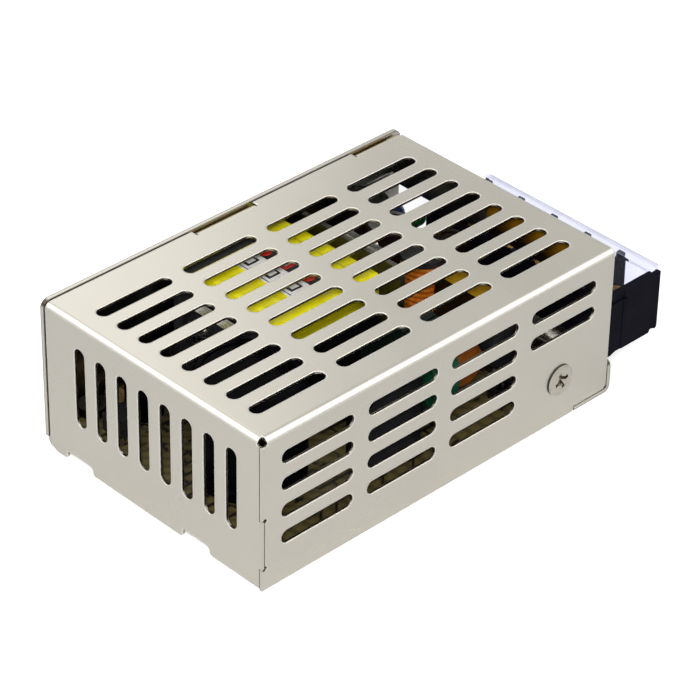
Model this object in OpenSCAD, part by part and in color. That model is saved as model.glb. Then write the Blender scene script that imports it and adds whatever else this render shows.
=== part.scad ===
// Enclosed switching power supply: folded steel case with a slotted cover,
// a barrier terminal block under a clear hinged lid, and the converter inside.
// Origin: centre of the base underside. +X runs to the terminal end, +Z is up.

/* [Case] */
// Length of the chassis, near end of the cover to the terminal-end flange
case_l = 78; // [78:1:90]
// Width over the cover's side and the chassis wall
case_w = 51; // [51:1:60]
// Height of the case
case_h = 28; // [28:1:34]
// Thickness of the chassis sheet
sheet_t = 0.8; // [0.6:0.1:1]
// Thickness of the cover sheet
cover_t = 0.5; // [0.4:0.1:0.8]
// Outside radius of the sheet's bends
bend_r = 1.2; // [1.1:0.1:1.6]
// Gap between the cover's far edge and the chassis flange
flange_gap = 0.15; // [0.1:0.05:0.8]
// Height of the flange at the terminal end
flange_h = 5.9; // [4:0.1:6.2]
// Gap between the folded sheets where they lie side by side
sheet_gap = 0.12; // [0.1:0.01:0.2]
// Gap between the cover's top and the chassis wall
wall_gap = 0.35; // [0.2:0.05:0.6]

/* [Vent slots] */
// Width of a vent slot
slot_w = 2.5; // [1.5:0.1:3]
// Length of a vent slot
slot_l = 15; // [10:0.5:16]
// Pitch of the slots along the case
slot_pitch_x = 18; // [17:0.5:20]
// Pitch of the slots across the case
slot_pitch_y = 5; // [4:0.1:6]
// Distance from the near end to the middle of the first slots
slot_start_x = 11.5; // [9.5:0.5:13]
// Distance from the right side to the first row of slots
slot_start_y = 6.8; // [5:0.1:8]
// Height of the lowest slots in the side
slot_start_z = 8; // [7.5:0.1:9]

/* [Mounting holes] */
// Bore of the tapped mounting holes
mount_bore = 2.5; // [2:0.1:3]
// Distance between the tapped holes in the base
base_hole_pitch = 40; // [30:1:46]
// Distance between the tapped holes in the chassis wall
wall_hole_pitch = 55; // [40:1:56]
// Height of the tapped holes in the chassis wall
wall_hole_z = 14; // [11:0.5:16]
// Depth of the drawn collar round each tapped hole, sheet included
collar_depth = 2; // [1.4:0.1:2.4]

/* [Circuit board] */
// Height of the board's underside over the floor
board_z = 4.8; // [4.4:0.1:5.2]
// Thickness of the board
board_t = 1.6; // [1:0.1:1.6]
// Distance from the case's near end to the board
board_near = 2.4; // [2:0.1:3]
// Distance from the board to the chassis end
board_far = 1.1; // [1:0.1:1.4]
// Distance from the case's sides to the board's edges
board_side = 2.3; // [2.1:0.1:2.6]

/* [Terminal block] */
// Pitch of the terminals
terminal_pitch = 7.62; // [7.4:0.01:7.7]
// Thickness of the walls between the terminals
barrier_t = 1.25; // [1:0.05:1.5]
// Distance from the case's right side to the first wall
block_side = 0.4; // [0.3:0.1:0.8]
// Distance that the block reaches past the chassis
block_reach = 11.5; // [10.5:0.1:12]
// Height of the walls' tops over the floor
barrier_top = 18.3; // [17.8:0.1:19]
// Height of the block's underside outside the case
block_bottom = 6.8; // [6.6:0.1:7.2]
// Height of the seats that carry the contacts
seat_z = 10.6; // [10.2:0.1:11]

/* [Terminal screws] */
// Thread diameter of a terminal screw
screw_d = 3; // [2.5:0.1:3]
// Head diameter of a terminal screw
screw_head_d = 5; // [4.4:0.1:5.2]
// Head height of a terminal screw
screw_head_h = 1.8; // [1.4:0.1:2]

/* [Terminal lid] */
// Thickness of the clear lid
lid_t = 0.8; // [0.6:0.1:1]
// Diameter of the lid's hinge pins
lid_pin_d = 1.2; // [1:0.1:1.4]
// Width of the grip bar along the lid's outer edge
lid_bar_w = 1.45; // [1.3:0.05:1.6]
// Height of the grip bar
lid_bar_h = 1.2; // [1:0.1:1.4]

/* [Components] */
// Diameter of the bulk capacitor
bulk_d = 18; // [14:0.5:18]
// Distance from the bulk capacitor's top to the cover
bulk_gap = 1.8; // [0.8:0.1:6]
// Diameter of an output capacitor
out_cap_d = 8; // [6.3:0.1:8]
// Height of an output capacitor over the board
out_cap_h = 16; // [12:0.5:18]
// Distance from the case's near end to the transformer
trafo_near = 24.4; // [23.5:0.1:28]
// Distance from the transformer to the chassis end
trafo_far = 29.6; // [27:0.1:33]
// Distance from the case's right side to the transformer
trafo_right = 24.9; // [24.6:0.1:28]
// Distance from the transformer to the case's left side
trafo_left = 3.6; // [2.6:0.1:8]
// Distance from the transformer's top to the cover
trafo_gap = 3.2; // [1:0.1:6]
// Outside diameter of the line choke's ring
choke_d = 15; // [12:0.5:15.5]
// Width of the line choke's ring
choke_w = 5.6; // [4:0.2:6]

/* [Hidden] */
$fn = 64;
// Faces of the case
near_x = -case_l / 2;
far_x = case_l / 2;
right_y = -case_w / 2;
left_y = case_w / 2;
near_in = near_x + cover_t;
right_in = right_y + cover_t;
left_in = left_y - sheet_t;
top_in = case_h - cover_t;
cover_far = far_x - sheet_t - flange_gap;
cover_left = left_in - wall_gap;
bend_z = case_h - bend_r;

// Places measured from one end or one side of the case
function from_near(d) = near_x + d;
function from_far(d) = far_x - d;
function from_right(d) = right_y + d;
function from_left(d) = left_y - d;

// Cover: front corner seam, hooks and edges
seam_lo = 4;
seam_hi = 13;
corner_hole_d = 1.7;
seam_hole_d = 0.9;
near_bottom = 0.3;
hook_w = 4.9;
hook_reach = 2;
hook_relief = 0.35;
hook_notch_z = 1.7;
base_notch = [2.4, 0.9];
hook_right = 15.3;
hook_left = 8.1;
hook_y = [from_right(hook_right), from_left(hook_left)];
hook_under = sheet_t + sheet_gap;
tongue_l = [12.5, 10];
tongue_near = 31;
tongue_far = 0.4;
tongue_x = [from_near(tongue_near), cover_far - tongue_far - tongue_l[1]];
tongue_h = 6;
tongue_notch = [0.4, 1.3];
foot_l = 8.6;
foot_edge = 0.6;
end_slot_z = 15.8;

// Slots that fit on the top and on the side
slot_margin_x = 3;
slot_margin_y = 5;
slot_margin_z = 1;
slot_cols = 1 + floor((cover_far - near_x - slot_start_x - slot_l / 2 - slot_margin_x) / slot_pitch_x);
slot_rows = 1 + floor((case_w - slot_start_y - slot_w / 2 - slot_margin_y) / slot_pitch_y);
side_rows = 1 + floor((bend_z - slot_start_z - slot_w / 2 - slot_margin_z) / slot_pitch_y);

// Cover screw and the chassis lug that takes it
cover_screw_far = 12.5;
cover_screw_x = from_far(cover_screw_far);
cover_screw_z = slot_start_z;
cover_screw_head_d = 5.6;
lug_w = 6.4;
lug_h = 12;
lug_relief = 0.5;
thread_gap = 0.05;

// Chassis: gap between the flange and the wall, relief of their corner, wall past the cover
corner_gap = 0.6;
corner_relief = 0.4;
wall_past = 1.2;

// Board, its posts and the level that the components stand on
board_top = board_z + board_t;
post_d = 5;
post_screw_head_d = 5;
post_screw_head_h = 1.6;
film_t = 0.3;
lead_d = 0.8;

// Terminal block
terminal_n = 5;
block_y = right_y + block_side;
block_w = terminal_n * terminal_pitch + barrier_t;
block_rear = far_x - 3.6;
block_front = far_x + block_reach;
rear_wall_t = 1.4;
bay_w = terminal_pitch - barrier_t;
screw_x = far_x + 5.6;
contact_t = 0.8;
clamp_t = 0.9;
clamp_w = 5.6;
stack_gap = 0.05;
screw_end_z = block_bottom + 0.9;
lid_axis_x = far_x + 1.9;
lid_axis_z = barrier_top - 1.5;
lid_barrel_r = lid_pin_d / 2 + 0.35;
lid_bar_x = block_front - 0.15 - lid_bar_w;
lid_sheet_end = lid_bar_x + 0.15;
lid_end_gap = 0.2;
lid_pin_l = 0.5;
nose_rear = lid_sheet_end + 0.25;
end_step = 0.12;
end_pocket = 0.4;

// Middle of a terminal's bay across the case
function bay_mid(i) = block_y + barrier_t / 2 + (i - 0.5) * terminal_pitch;

// Flat slot with round ends, long way along X
module slot_shape(length, width) {
    square([length - width, width], center = true);
    for (s = [-1, 1]) translate([s * (length - width) / 2, 0]) circle(d = width);
}

// Rectangle with its four corners rounded
module rounded_rect(size, r) {
    translate([r, 0]) square([size[0] - 2 * r, size[1]]);
    translate([0, r]) square([size[0], size[1] - 2 * r]);
    for (x = [r, size[0] - r], y = [r, size[1] - r]) translate([x, y]) circle(r);
}

// Quarter section of a bend in a sheet t thick, about its centre, towards +X and +Y
module bend_section(t) {
    intersection() {
        difference() {
            circle(bend_r);
            circle(bend_r - t);
        }
        square(bend_r);
    }
}

// The same section turned towards either side
module bend_quadrant(t, side_a, side_b) {
    mirror([side_a < 0 ? 1 : 0, 0, 0]) mirror([0, side_b < 0 ? 1 : 0, 0]) bend_section(t);
}

// A bend that runs along X from the origin, towards side_y and side_z
module bend_along_x(t, length, side_y, side_z) {
    rotate([90, 0, 90]) linear_extrude(length) bend_quadrant(t, side_y, side_z);
}

// A bend that runs along Y from the origin, towards side_x and side_z
module bend_along_y(t, length, side_x, side_z) {
    translate([0, length, 0]) rotate([90, 0, 0]) linear_extrude(length) bend_quadrant(t, side_x, side_z);
}

// Plate that stands across Y: its outline is drawn in X and Z, and it is t thick from y on
module plate_xz(y, t) {
    translate([0, y + t, 0]) rotate([90, 0, 0]) linear_extrude(t) children();
}

// Plate that stands across X: its outline is drawn in Y and Z, and it is t thick from x on
module plate_yz(x, t) {
    translate([x, 0, 0]) rotate([90, 0, 90]) linear_extrude(t) children();
}

// Top of the cover with its two bends and the folded tongues at the chassis wall
module cover_top() {
    difference() {
        translate([near_x + bend_r, right_y + bend_r, top_in])
            cube([cover_far - near_x - bend_r, cover_left - right_y - bend_r, cover_t]);
        for (i = [0, 1]) {
            translate([tongue_x[i] - tongue_notch[0], cover_left - tongue_notch[1], top_in - 1])
                cube([tongue_l[i] + 2 * tongue_notch[0], tongue_notch[1] + 1, cover_t + 2]);
        }
    }
    translate([near_x + bend_r, right_y + bend_r, bend_z])
        bend_along_x(cover_t, cover_far - near_x - bend_r, -1, 1);
    translate([near_x + bend_r, right_y + bend_r, bend_z])
        bend_along_y(cover_t, cover_left - right_y - bend_r, -1, 1);
    for (i = [0, 1]) cover_tongue(tongue_x[i], tongue_l[i]);
}

// Tongue folded down inside the chassis wall
module cover_tongue(x, w) {
    translate([x, cover_left - tongue_notch[1], top_in]) cube([w, tongue_notch[1] - bend_r, cover_t]);
    translate([x, cover_left - bend_r, bend_z]) bend_along_x(cover_t, w, 1, 1);
    plate_xz(cover_left - cover_t, cover_t) translate([x, bend_z - tongue_h]) square([w, tongue_h]);
}

// Rounded corner where the three faces of the cover meet, with its relief hole
module cover_corner() {
    translate([near_x + bend_r, right_y + bend_r, bend_z]) difference() {
        intersection() {
            difference() {
                sphere(bend_r);
                sphere(bend_r - cover_t);
            }
            translate([-bend_r, -bend_r, 0]) cube(bend_r);
        }
        rotate([0, acos(1 / sqrt(3)), 225]) cylinder(d = corner_hole_d, h = 2 * bend_r);
    }
}

// Right side of the cover, in X and Z, its foot cut up over the chassis at the far end
module cover_side_outline() {
    foot_x = from_far(foot_l) - sheet_gap;
    foot_z = sheet_t + sheet_gap;
    difference() {
        polygon([
            [near_x, 0],
            [foot_x - foot_edge / 2, 0],
            [foot_x, foot_edge / 2],
            [foot_x, foot_z],
            [cover_far - foot_edge, foot_z],
            [cover_far, foot_z + foot_edge],
            [cover_far, bend_z],
            [near_x, bend_z],
            [near_x, seam_hi + sheet_gap],
            [near_in + sheet_gap, seam_hi + sheet_gap],
            [near_in + sheet_gap, seam_lo - sheet_gap],
            [near_x, seam_lo - sheet_gap]
        ]);
        for (z = [seam_lo, seam_hi]) translate([near_in + sheet_gap, z]) circle(d = seam_hole_d);
        for (c = [0 : slot_cols - 1], r = [0 : side_rows - 1]) {
            beside = abs(slot_mid_x(c) - cover_screw_x) < (slot_l + cover_screw_head_d) / 2 + slot_margin_z;
            level = abs(r * slot_pitch_y) < slot_pitch_y + slot_margin_z;
            if (!beside || !level) {
                translate([slot_mid_x(c), slot_start_z + r * slot_pitch_y]) slot_shape(slot_l, slot_w);
            }
        }
    }
}

function slot_mid_x(c) = near_x + slot_start_x + c * slot_pitch_x;
function slot_mid_y(r) = right_y + slot_start_y + r * slot_pitch_y;

// Near end of the cover, in Y and Z
module cover_end_outline() {
    corner_r = 2;
    inner = right_in + sheet_gap;
    difference() {
        union() {
            translate([inner, near_bottom]) square([cover_left - corner_r - inner, corner_r]);
            translate([inner, near_bottom + corner_r])
                square([cover_left - inner, bend_z - near_bottom - corner_r]);
            translate([cover_left - corner_r, near_bottom + corner_r]) circle(corner_r);
            translate([right_y, seam_lo]) square([inner - right_y + 1, seam_hi - seam_lo]);
        }
        for (y = hook_y) {
            translate([y - hook_w / 2 - hook_relief, 0]) square([hook_w + 2 * hook_relief, hook_notch_z]);
            translate([y - hook_w / 2, 0]) square([hook_w, hook_under + bend_r]);
            translate([y - hook_w / 2 - hook_relief, near_bottom]) hook_curve();
            translate([y + hook_w / 2 + hook_relief, near_bottom]) foot_round();
        }
        for (r = [0 : slot_rows - 1]) {
            translate([slot_mid_y(r), end_slot_z])
                rotate(90) slot_shape(slot_l, slot_w);
        }
    }
}

// Cut under the curved rise of the near end's foot, beside a hook
module hook_curve() {
    rise = hook_notch_z - near_bottom;
    r = rise / 2;
    difference() {
        translate([-2 * r, -1]) square([2 * r + 0.1, 1 + r]);
        translate([-2 * r, r]) circle(r);
    }
    intersection() {
        translate([0, r]) circle(r);
        translate([-r, r - 0.1]) square([r + 0.1, r + 0.1]);
    }
}

// Cut that rounds the corner of the near end's foot on a hook's other side
module foot_round() {
    r = 0.5;
    difference() {
        translate([-0.1, -1]) square([r + 0.1, r + 1]);
        translate([r, r]) circle(r);
    }
}

// Hook at the foot of the near end, folded in over the base
module cover_hook(y) {
    translate([near_x + bend_r, y - hook_w / 2, hook_under + bend_r]) bend_along_y(cover_t, hook_w, -1, -1);
    translate([near_x + bend_r, y - hook_w / 2, hook_under]) cube([hook_reach, hook_w, cover_t]);
}

// Slots in the top of the cover
module top_slots() {
    translate([0, 0, top_in - 1]) linear_extrude(cover_t + 2)
        for (c = [0 : slot_cols - 1], r = [0 : slot_rows - 1])
            translate([slot_mid_x(c), slot_mid_y(r)]) slot_shape(slot_l, slot_w);
}

// Folded cover: top, near end and right side in one sheet
module cover() {
    color([0.8, 0.78, 0.74]) difference() {
        union() {
            cover_top();
            cover_corner();
            plate_xz(right_y, cover_t) cover_side_outline();
            plate_yz(near_x, cover_t) cover_end_outline();
            for (y = hook_y) cover_hook(y);
        }
        top_slots();
        translate([cover_screw_x, right_y - 1, cover_screw_z]) rotate([-90, 0, 0])
            cylinder(d = mount_bore + 0.6, h = cover_t + 2);
    }
}

// Cross recess of a screw, cut down from the origin along -Z
module cross_recess(span, depth) {
    for (a = [0, 90]) rotate(a) translate([-span / 2, -span / 9, -depth]) cube([span, span / 4.5, depth + 1]);
    translate([0, 0, -depth]) cylinder(d1 = span / 4, d2 = span * 0.6, h = depth + 0.01);
}

// Low pan-head screw that holds the cover to the chassis lug
module cover_screw() {
    shank_l = 4.4;
    rim = 0.25;
    bevel = 0.22;
    turned = 20;
    color([0.82, 0.8, 0.77])
        translate([cover_screw_x, right_y, cover_screw_z]) rotate([90, 0, 0]) difference() {
            union() {
                cylinder(d = cover_screw_head_d, h = rim);
                translate([0, 0, rim])
                    cylinder(d1 = cover_screw_head_d, d2 = cover_screw_head_d - 3 * bevel, h = bevel);
                translate([0, 0, -shank_l])
                    cylinder(d = mount_bore - 2 * thread_gap, h = shank_l + rim);
            }
            translate([0, 0, rim + bevel]) rotate(turned) cross_recess(3, 1);
        }
}

// Drawn collar of a tapped hole, up from the origin
module collar(h) {
    cylinder(d = mount_bore + 1.8, h = h);
}

// Left wall of the chassis, in X and Z
module chassis_wall_outline() {
    wall_far = cover_far + wall_past;
    relief_z = 2.2;
    r = 1.5;
    translate([near_x, relief_z]) square([wall_far - near_x, case_h - relief_z - r]);
    translate([near_x + r, relief_z]) square([wall_far - near_x - 2 * r, case_h - relief_z]);
    for (x = [near_x + r, wall_far - r]) translate([x, case_h - r]) circle(r);
    translate([near_in + sheet_gap, bend_r])
        square([far_x - bend_r - near_in - sheet_gap - corner_relief, relief_z - bend_r + 0.1]);
}

flange_w = case_w - sheet_t - corner_gap;

// Flange at the terminal end, in Y and Z
module chassis_flange_outline() {
    r = 1.2;
    translate([right_y, bend_r]) square([flange_w, flange_h - bend_r - r]);
    translate([right_y + r, bend_r]) square([flange_w - 2 * r, flange_h - bend_r]);
    for (y = [right_y + r, right_y + flange_w - r]) translate([y, flange_h - r]) circle(r);
}

// Folded chassis: base, full-height left wall, terminal-end flange and the cover screw's lug
module chassis() {
    base_near = near_in + sheet_gap;
    base_right = right_in + sheet_gap;
    foot_x = from_far(foot_l);
    lug_x = cover_screw_x - lug_w / 2;
    color([0.8, 0.78, 0.74]) difference() {
        union() {
            difference() {
                translate([base_near, base_right, 0])
                    cube([far_x - bend_r - base_near, left_y - bend_r - base_right, sheet_t]);
                translate([lug_x - lug_relief, base_right - 1, -1])
                    cube([lug_w + 2 * lug_relief, bend_r + 1, sheet_t + 2]);
                for (y = hook_y) translate([near_x, y - hook_w / 2 - hook_relief, -1])
                    cube([base_notch[0], hook_w + 2 * hook_relief + base_notch[1], sheet_t + 2]);
            }
            translate([foot_x, right_y, 0])
                cube([far_x - bend_r - foot_x, base_right - right_y + 1, sheet_t]);
            translate([base_near, left_y - bend_r, bend_r])
                bend_along_x(sheet_t, far_x - bend_r - base_near - corner_relief, 1, -1);
            plate_xz(left_in, sheet_t) chassis_wall_outline();
            translate([far_x - bend_r, right_y, bend_r]) bend_along_y(sheet_t, flange_w, 1, -1);
            plate_yz(far_x - sheet_t, sheet_t) chassis_flange_outline();
            translate([lug_x, base_right + bend_r, bend_r]) bend_along_x(sheet_t, lug_w, -1, -1);
            plate_xz(base_right, sheet_t) translate([lug_x, bend_r]) square([lug_w, lug_h - bend_r]);
            for (s = [-1, 1]) {
                translate([s * base_hole_pitch / 2, 0, sheet_t / 2]) collar(collar_depth - sheet_t / 2);
                translate([s * wall_hole_pitch / 2, left_y - sheet_t / 2, wall_hole_z])
                    rotate([90, 0, 0]) collar(collar_depth - sheet_t / 2);
            }
        }
        for (s = [-1, 1]) {
            translate([s * base_hole_pitch / 2, 0, -1]) cylinder(d = mount_bore, h = collar_depth + 2);
            translate([s * wall_hole_pitch / 2, left_y + 1, wall_hole_z])
                rotate([90, 0, 0]) cylinder(d = mount_bore, h = collar_depth + 2);
        }
        translate([cover_screw_x, right_y, cover_screw_z]) rotate([-90, 0, 0])
            cylinder(d = mount_bore, h = 4 * sheet_t);
    }
}

// Places of the board's posts
post_near = 6;
post_far = 20.6;
post_right = 5;
post_left = 4.8;
post_x = [from_near(post_near), from_far(post_far)];
post_y = [from_right(post_right), from_left(post_left)];

// Plastic film between the base and the board
module insulation_film() {
    x0 = near_x + bend_r + hook_reach + 0.6;
    y0 = right_in + sheet_gap + bend_r + 0.6;
    color([0.9, 0.88, 0.8]) difference() {
        translate([x0, y0, sheet_t]) cube([far_x - bend_r - 0.8 - x0, left_y - bend_r - 0.6 - y0, film_t]);
        for (x = post_x, y = post_y) translate([x, y, 0]) cylinder(d = post_d + 0.6, h = board_z);
        for (s = [-1, 1]) translate([s * base_hole_pitch / 2, 0, 0])
            cylinder(d = mount_bore + 3, h = board_z);
    }
}

// Printed circuit board
module circuit_board() {
    x0 = near_x + board_near;
    y0 = right_y + board_side;
    color([0.78, 0.68, 0.45]) difference() {
        translate([x0, y0, board_z])
            cube([case_l - board_near - board_far, case_w - 2 * board_side, board_t]);
        for (x = post_x, y = post_y) translate([x, y, board_z - 1])
            cylinder(d = mount_bore + 0.7, h = board_t + 2);
    }
}

// Riveted posts that carry the board
module board_posts() {
    color("silver") for (x = post_x, y = post_y) translate([x, y, sheet_t]) difference() {
        cylinder(d = post_d, h = board_z - sheet_t);
        cylinder(d = mount_bore, h = board_z);
    }
}

// Pan-head screws that hold the board on its posts
module board_screws() {
    color("silver") for (x = post_x, y = post_y) translate([x, y, board_top]) difference() {
        union() {
            cylinder(d = post_screw_head_d, h = post_screw_head_h);
            translate([0, 0, -board_t - 2]) cylinder(d = mount_bore - 2 * thread_gap, h = board_t + 2.2);
        }
        translate([0, 0, post_screw_head_h]) cross_recess(2.8, 1);
    }
}

// Common lower edge of the block's walls and seats, in X and Z, from the rear to reach_x
function block_foot(reach_x) = [
    [block_rear, board_top],
    [far_x + 0.3, board_top],
    [far_x + 1.5, block_bottom],
    [reach_x, block_bottom]
];

// Outer end of a wall: undercut foot and an upright front edge
function block_nose() = [
    [block_front - 1.55, block_bottom + 0.65],
    [block_front - 0.35, block_bottom + 0.2],
    [block_front, block_bottom + 0.5],
    [block_front, barrier_top - 0.1],
    [block_front - 0.1, barrier_top]
];

// End wall of the block, full height to the rear, with a notch that catches the lid
module end_wall_outline() {
    notch = 0.55;
    polygon(concat(block_foot(block_front - 2), block_nose(), [
        [nose_rear + 0.9, barrier_top],
        [nose_rear + 0.3, barrier_top - notch],
        [nose_rear - 0.3, barrier_top],
        [block_rear, barrier_top]
    ]));
}

// Wall between two terminals, cut down under the lid
module barrier_outline() {
    low_z = lid_axis_z - lid_barrel_r - 0.3;
    polygon(concat(block_foot(block_front - 2), block_nose(), [
        [nose_rear, barrier_top],
        [nose_rear, barrier_top - lid_t - 0.3],
        [lid_axis_x + lid_barrel_r + 0.6, low_z],
        [block_rear + rear_wall_t, low_z],
        [block_rear + rear_wall_t, barrier_top],
        [block_rear, barrier_top]
    ]));
}

// Moulded terminal block: seats, rear wall and barriers in one piece
module terminal_block() {
    seat_front = screw_x + clamp_w / 2 + 0.3;
    pin_slot = [1, 1.4];
    step_x = far_x + 2.7;
    pin_hole = lid_pin_l + 0.1;
    color([0.07, 0.07, 0.09]) difference() {
        union() {
            plate_xz(block_y, block_w) polygon(concat(block_foot(seat_front), [
                [seat_front, seat_z],
                [block_rear, seat_z]
            ]));
            translate([block_rear, block_y, board_top]) cube([rear_wall_t, block_w, barrier_top - board_top]);
            for (i = [1 : terminal_n - 1])
                plate_xz(block_y + i * terminal_pitch, barrier_t) barrier_outline();
            for (i = [0, terminal_n]) plate_xz(block_y + i * terminal_pitch, barrier_t) end_wall_outline();
        }
        translate([block_rear - 1, right_y - 1, 0])
            cube([cover_far + sheet_gap - block_rear + 1, cover_t + sheet_gap + 1, case_h]);
        translate([block_rear - 1, block_y - 1, 0]) cube([step_x - block_rear + 1, end_step + 1, case_h]);
        for (i = [1 : terminal_n]) translate([0, bay_mid(i), 0]) {
            translate([screw_x, 0, screw_end_z - 0.3]) cylinder(d = screw_d + 0.6, h = seat_z);
            translate([contact_rear(), -pin_slot[1] / 2, 0]) cube([pin_slot[0], pin_slot[1], seat_z + 1]);
        }
        for (y = [block_y + barrier_t - pin_hole, block_y + block_w - barrier_t - 1])
            translate([lid_axis_x, y, lid_axis_z]) rotate([-90, 0, 0])
                cylinder(d = lid_pin_d + 2 * thread_gap, h = pin_hole + 1);
        for (y = [block_y - 1, block_y + block_w - end_pocket])
            plate_xz(y, end_pocket + 1) end_pocket_outline();
    }
}

// Blind pocket with one slanted side in the outer face of an end wall
module end_pocket_outline() {
    low_z = barrier_top - 1.8;
    high_z = barrier_top - 0.3;
    polygon([
        [far_x - 0.4, low_z],
        [far_x + 3.6, low_z],
        [far_x + 2, high_z],
        [far_x - 0.4, high_z]
    ]);
}

function contact_rear() = block_rear + rear_wall_t + 0.1;

// Contact plates on the seats, each with its tail down to the board
module terminal_contacts() {
    plate_l = screw_x + clamp_w / 2 - contact_rear();
    tail = [0.8, 1.2];
    color([0.8, 0.62, 0.25]) for (i = [1 : terminal_n]) translate([contact_rear(), bay_mid(i), 0]) {
        difference() {
            translate([0, -clamp_w / 2, seat_z]) cube([plate_l, clamp_w, contact_t]);
            translate([screw_x - contact_rear(), 0, seat_z - 1])
                cylinder(d = screw_d + 2 * thread_gap, h = contact_t + 2);
        }
        translate([0.1, -tail[1] / 2, board_top]) cube([tail[0], tail[1], seat_z - board_top + 0.1]);
    }
}

clamp_z = seat_z + contact_t + stack_gap;
screw_head_z = clamp_z + clamp_t + stack_gap;

// Square clamp plate under a terminal screw's head
module wire_clamp(i) {
    color([0.75, 0.75, 0.74]) translate([screw_x, bay_mid(i), clamp_z]) difference() {
        translate([-clamp_w / 2, -clamp_w / 2, 0])
            linear_extrude(clamp_t) rounded_rect([clamp_w, clamp_w], 0.5);
        translate([0, 0, -1]) cylinder(d = screw_d + 0.3, h = clamp_t + 2);
    }
}

// Terminal screw: pan head with a cross recess
module terminal_screw(i) {
    edge = 0.4;
    color([0.8, 0.79, 0.76]) translate([screw_x, bay_mid(i), screw_head_z]) difference() {
        union() {
            cylinder(d = screw_head_d, h = screw_head_h - edge);
            translate([0, 0, screw_head_h - edge])
                cylinder(d1 = screw_head_d, d2 = screw_head_d - 2 * edge, h = edge);
            translate([0, 0, screw_end_z - screw_head_z])
                cylinder(d = screw_d, h = screw_head_z - screw_end_z + 0.1);
        }
        translate([0, 0, screw_head_h]) cross_recess(3.2, 1.1);
    }
}

// Outline of the lid's grip bar, with its front edge rounded
module lid_bar_outline() {
    low_z = barrier_top + 0.1;
    round_r = 0.5;
    front = lid_bar_x + lid_bar_w;
    polygon([
        [lid_bar_x, low_z],
        [front, low_z],
        [front, low_z + lid_bar_h - round_r],
        [front - round_r, low_z + lid_bar_h],
        [lid_bar_x + 0.35, low_z + lid_bar_h - 0.15],
        [lid_bar_x, low_z + 0.3]
    ]);
    translate([front - round_r, low_z + lid_bar_h - round_r]) circle(round_r);
}

// Clear lid: hinge barrel with its end pins, sloping sheet and a grip bar along its outer edge
module terminal_lid() {
    sheet_z = barrier_top + 0.12;
    bar_inset = 0.6;
    inner_y = block_y + barrier_t + lid_end_gap;
    inner_w = block_w - 2 * (barrier_t + lid_end_gap);
    pin_l = lid_end_gap + lid_pin_l;
    color([0.85, 0.85, 0.95, 0.4]) {
        plate_xz(inner_y, inner_w) {
            translate([lid_axis_x, lid_axis_z]) circle(lid_barrel_r);
            polygon([
                [lid_axis_x, lid_axis_z + lid_barrel_r],
                [lid_axis_x + lid_barrel_r, lid_axis_z],
                [lid_sheet_end, sheet_z - lid_t],
                [lid_sheet_end, sheet_z]
            ]);
        }
        plate_xz(block_y + bar_inset, block_w - 2 * bar_inset) lid_bar_outline();
        translate([lid_axis_x, inner_y - pin_l, lid_axis_z]) rotate([-90, 0, 0])
            cylinder(d = lid_pin_d, h = inner_w + 2 * pin_l);
    }
}

// Transformer: places of its faces
trafo_x = from_near(trafo_near);
trafo_y = from_right(trafo_right);
trafo_l = case_l - trafo_near - trafo_far;
trafo_w = case_w - trafo_right - trafo_left;
trafo_top = top_in - trafo_gap;
core_leg = 3.4;
core_z = board_top + 2.6;
core_top = trafo_top - 0.4;
yoke = 3.4;
mid_leg = 7;
wind_gap = 0.1;

// Ferrite core: two outer legs, two yokes and the middle leg
module transformer_core() {
    window_w = (trafo_w - 2 * core_leg - mid_leg) / 2;
    color([0.17, 0.17, 0.18]) difference() {
        translate([trafo_x, trafo_y, core_z]) cube([trafo_l, trafo_w, core_top - core_z]);
        for (y = [core_leg, trafo_w - core_leg - window_w]) {
            translate([trafo_x + yoke, trafo_y + y, 0]) cube([trafo_l - 2 * yoke, window_w, case_h]);
        }
        for (z = [0, core_top - 3]) {
            translate([trafo_x + yoke, trafo_y + core_leg, z == 0 ? core_z - 1 : z])
                cube([trafo_l - 2 * yoke, trafo_w - 2 * core_leg, 4]);
        }
    }
}

// Pin base of the transformer's coil former
module transformer_bobbin() {
    inset = 0.6;
    pin_h = 0.6;
    color([0.15, 0.1, 0.08]) difference() {
        translate([trafo_x + inset, trafo_y + inset, board_top])
            cube([trafo_l - 2 * inset, trafo_w - 2 * inset, core_z - board_top]);
        translate([trafo_x + 3 * inset, trafo_y + 6, board_top - 1])
            cube([trafo_l - 6 * inset, trafo_w - 12, pin_h + 1]);
    }
}

// Taped winding round the core's middle leg
module transformer_winding() {
    w = trafo_w - 2 * core_leg - 2 * wind_gap;
    l = trafo_l - 2 * yoke - 2 * wind_gap;
    z0 = core_z + wind_gap;
    leg_z = core_z + 3;
    leg_h = core_top - 3 - leg_z;
    color([0.95, 0.82, 0.1])
        translate([trafo_x + yoke + wind_gap, trafo_y + core_leg + wind_gap, 0]) difference() {
            translate([0, 0, z0]) linear_extrude(trafo_top - z0) rounded_rect([l, w], 1);
            translate([-1, (w - mid_leg) / 2 - wind_gap, leg_z - wind_gap])
                cube([l + 2, mid_leg + 2 * wind_gap, leg_h + 2 * wind_gap]);
        }
}

// Sleeved capacitor that stands on the board, with a crimped foot and a recessed top
module standing_capacitor(d, h) {
    rim = 0.8;
    groove_z = h * 0.14;
    groove = 0.35;
    r = d / 2;
    rotate_extrude() polygon([
        [0, 0],
        [r - rim / 2, 0],
        [r, rim / 2],
        [r, groove_z - 2 * groove],
        [r - groove, groove_z],
        [r, groove_z + 2 * groove],
        [r, h - rim / 2],
        [r - rim / 2, h],
        [r - 1.5 * rim, h],
        [r - 1.5 * rim, h - rim / 3],
        [0, h - rim / 3]
    ]);
}

bulk_near = 13.5;
bulk_right = 17.2;

// Bulk capacitor on the mains side
module bulk_capacitor() {
    color([0.13, 0.13, 0.14]) translate([from_near(bulk_near), from_right(bulk_right), board_top])
        standing_capacitor(bulk_d, top_in - bulk_gap - board_top);
}

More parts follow.
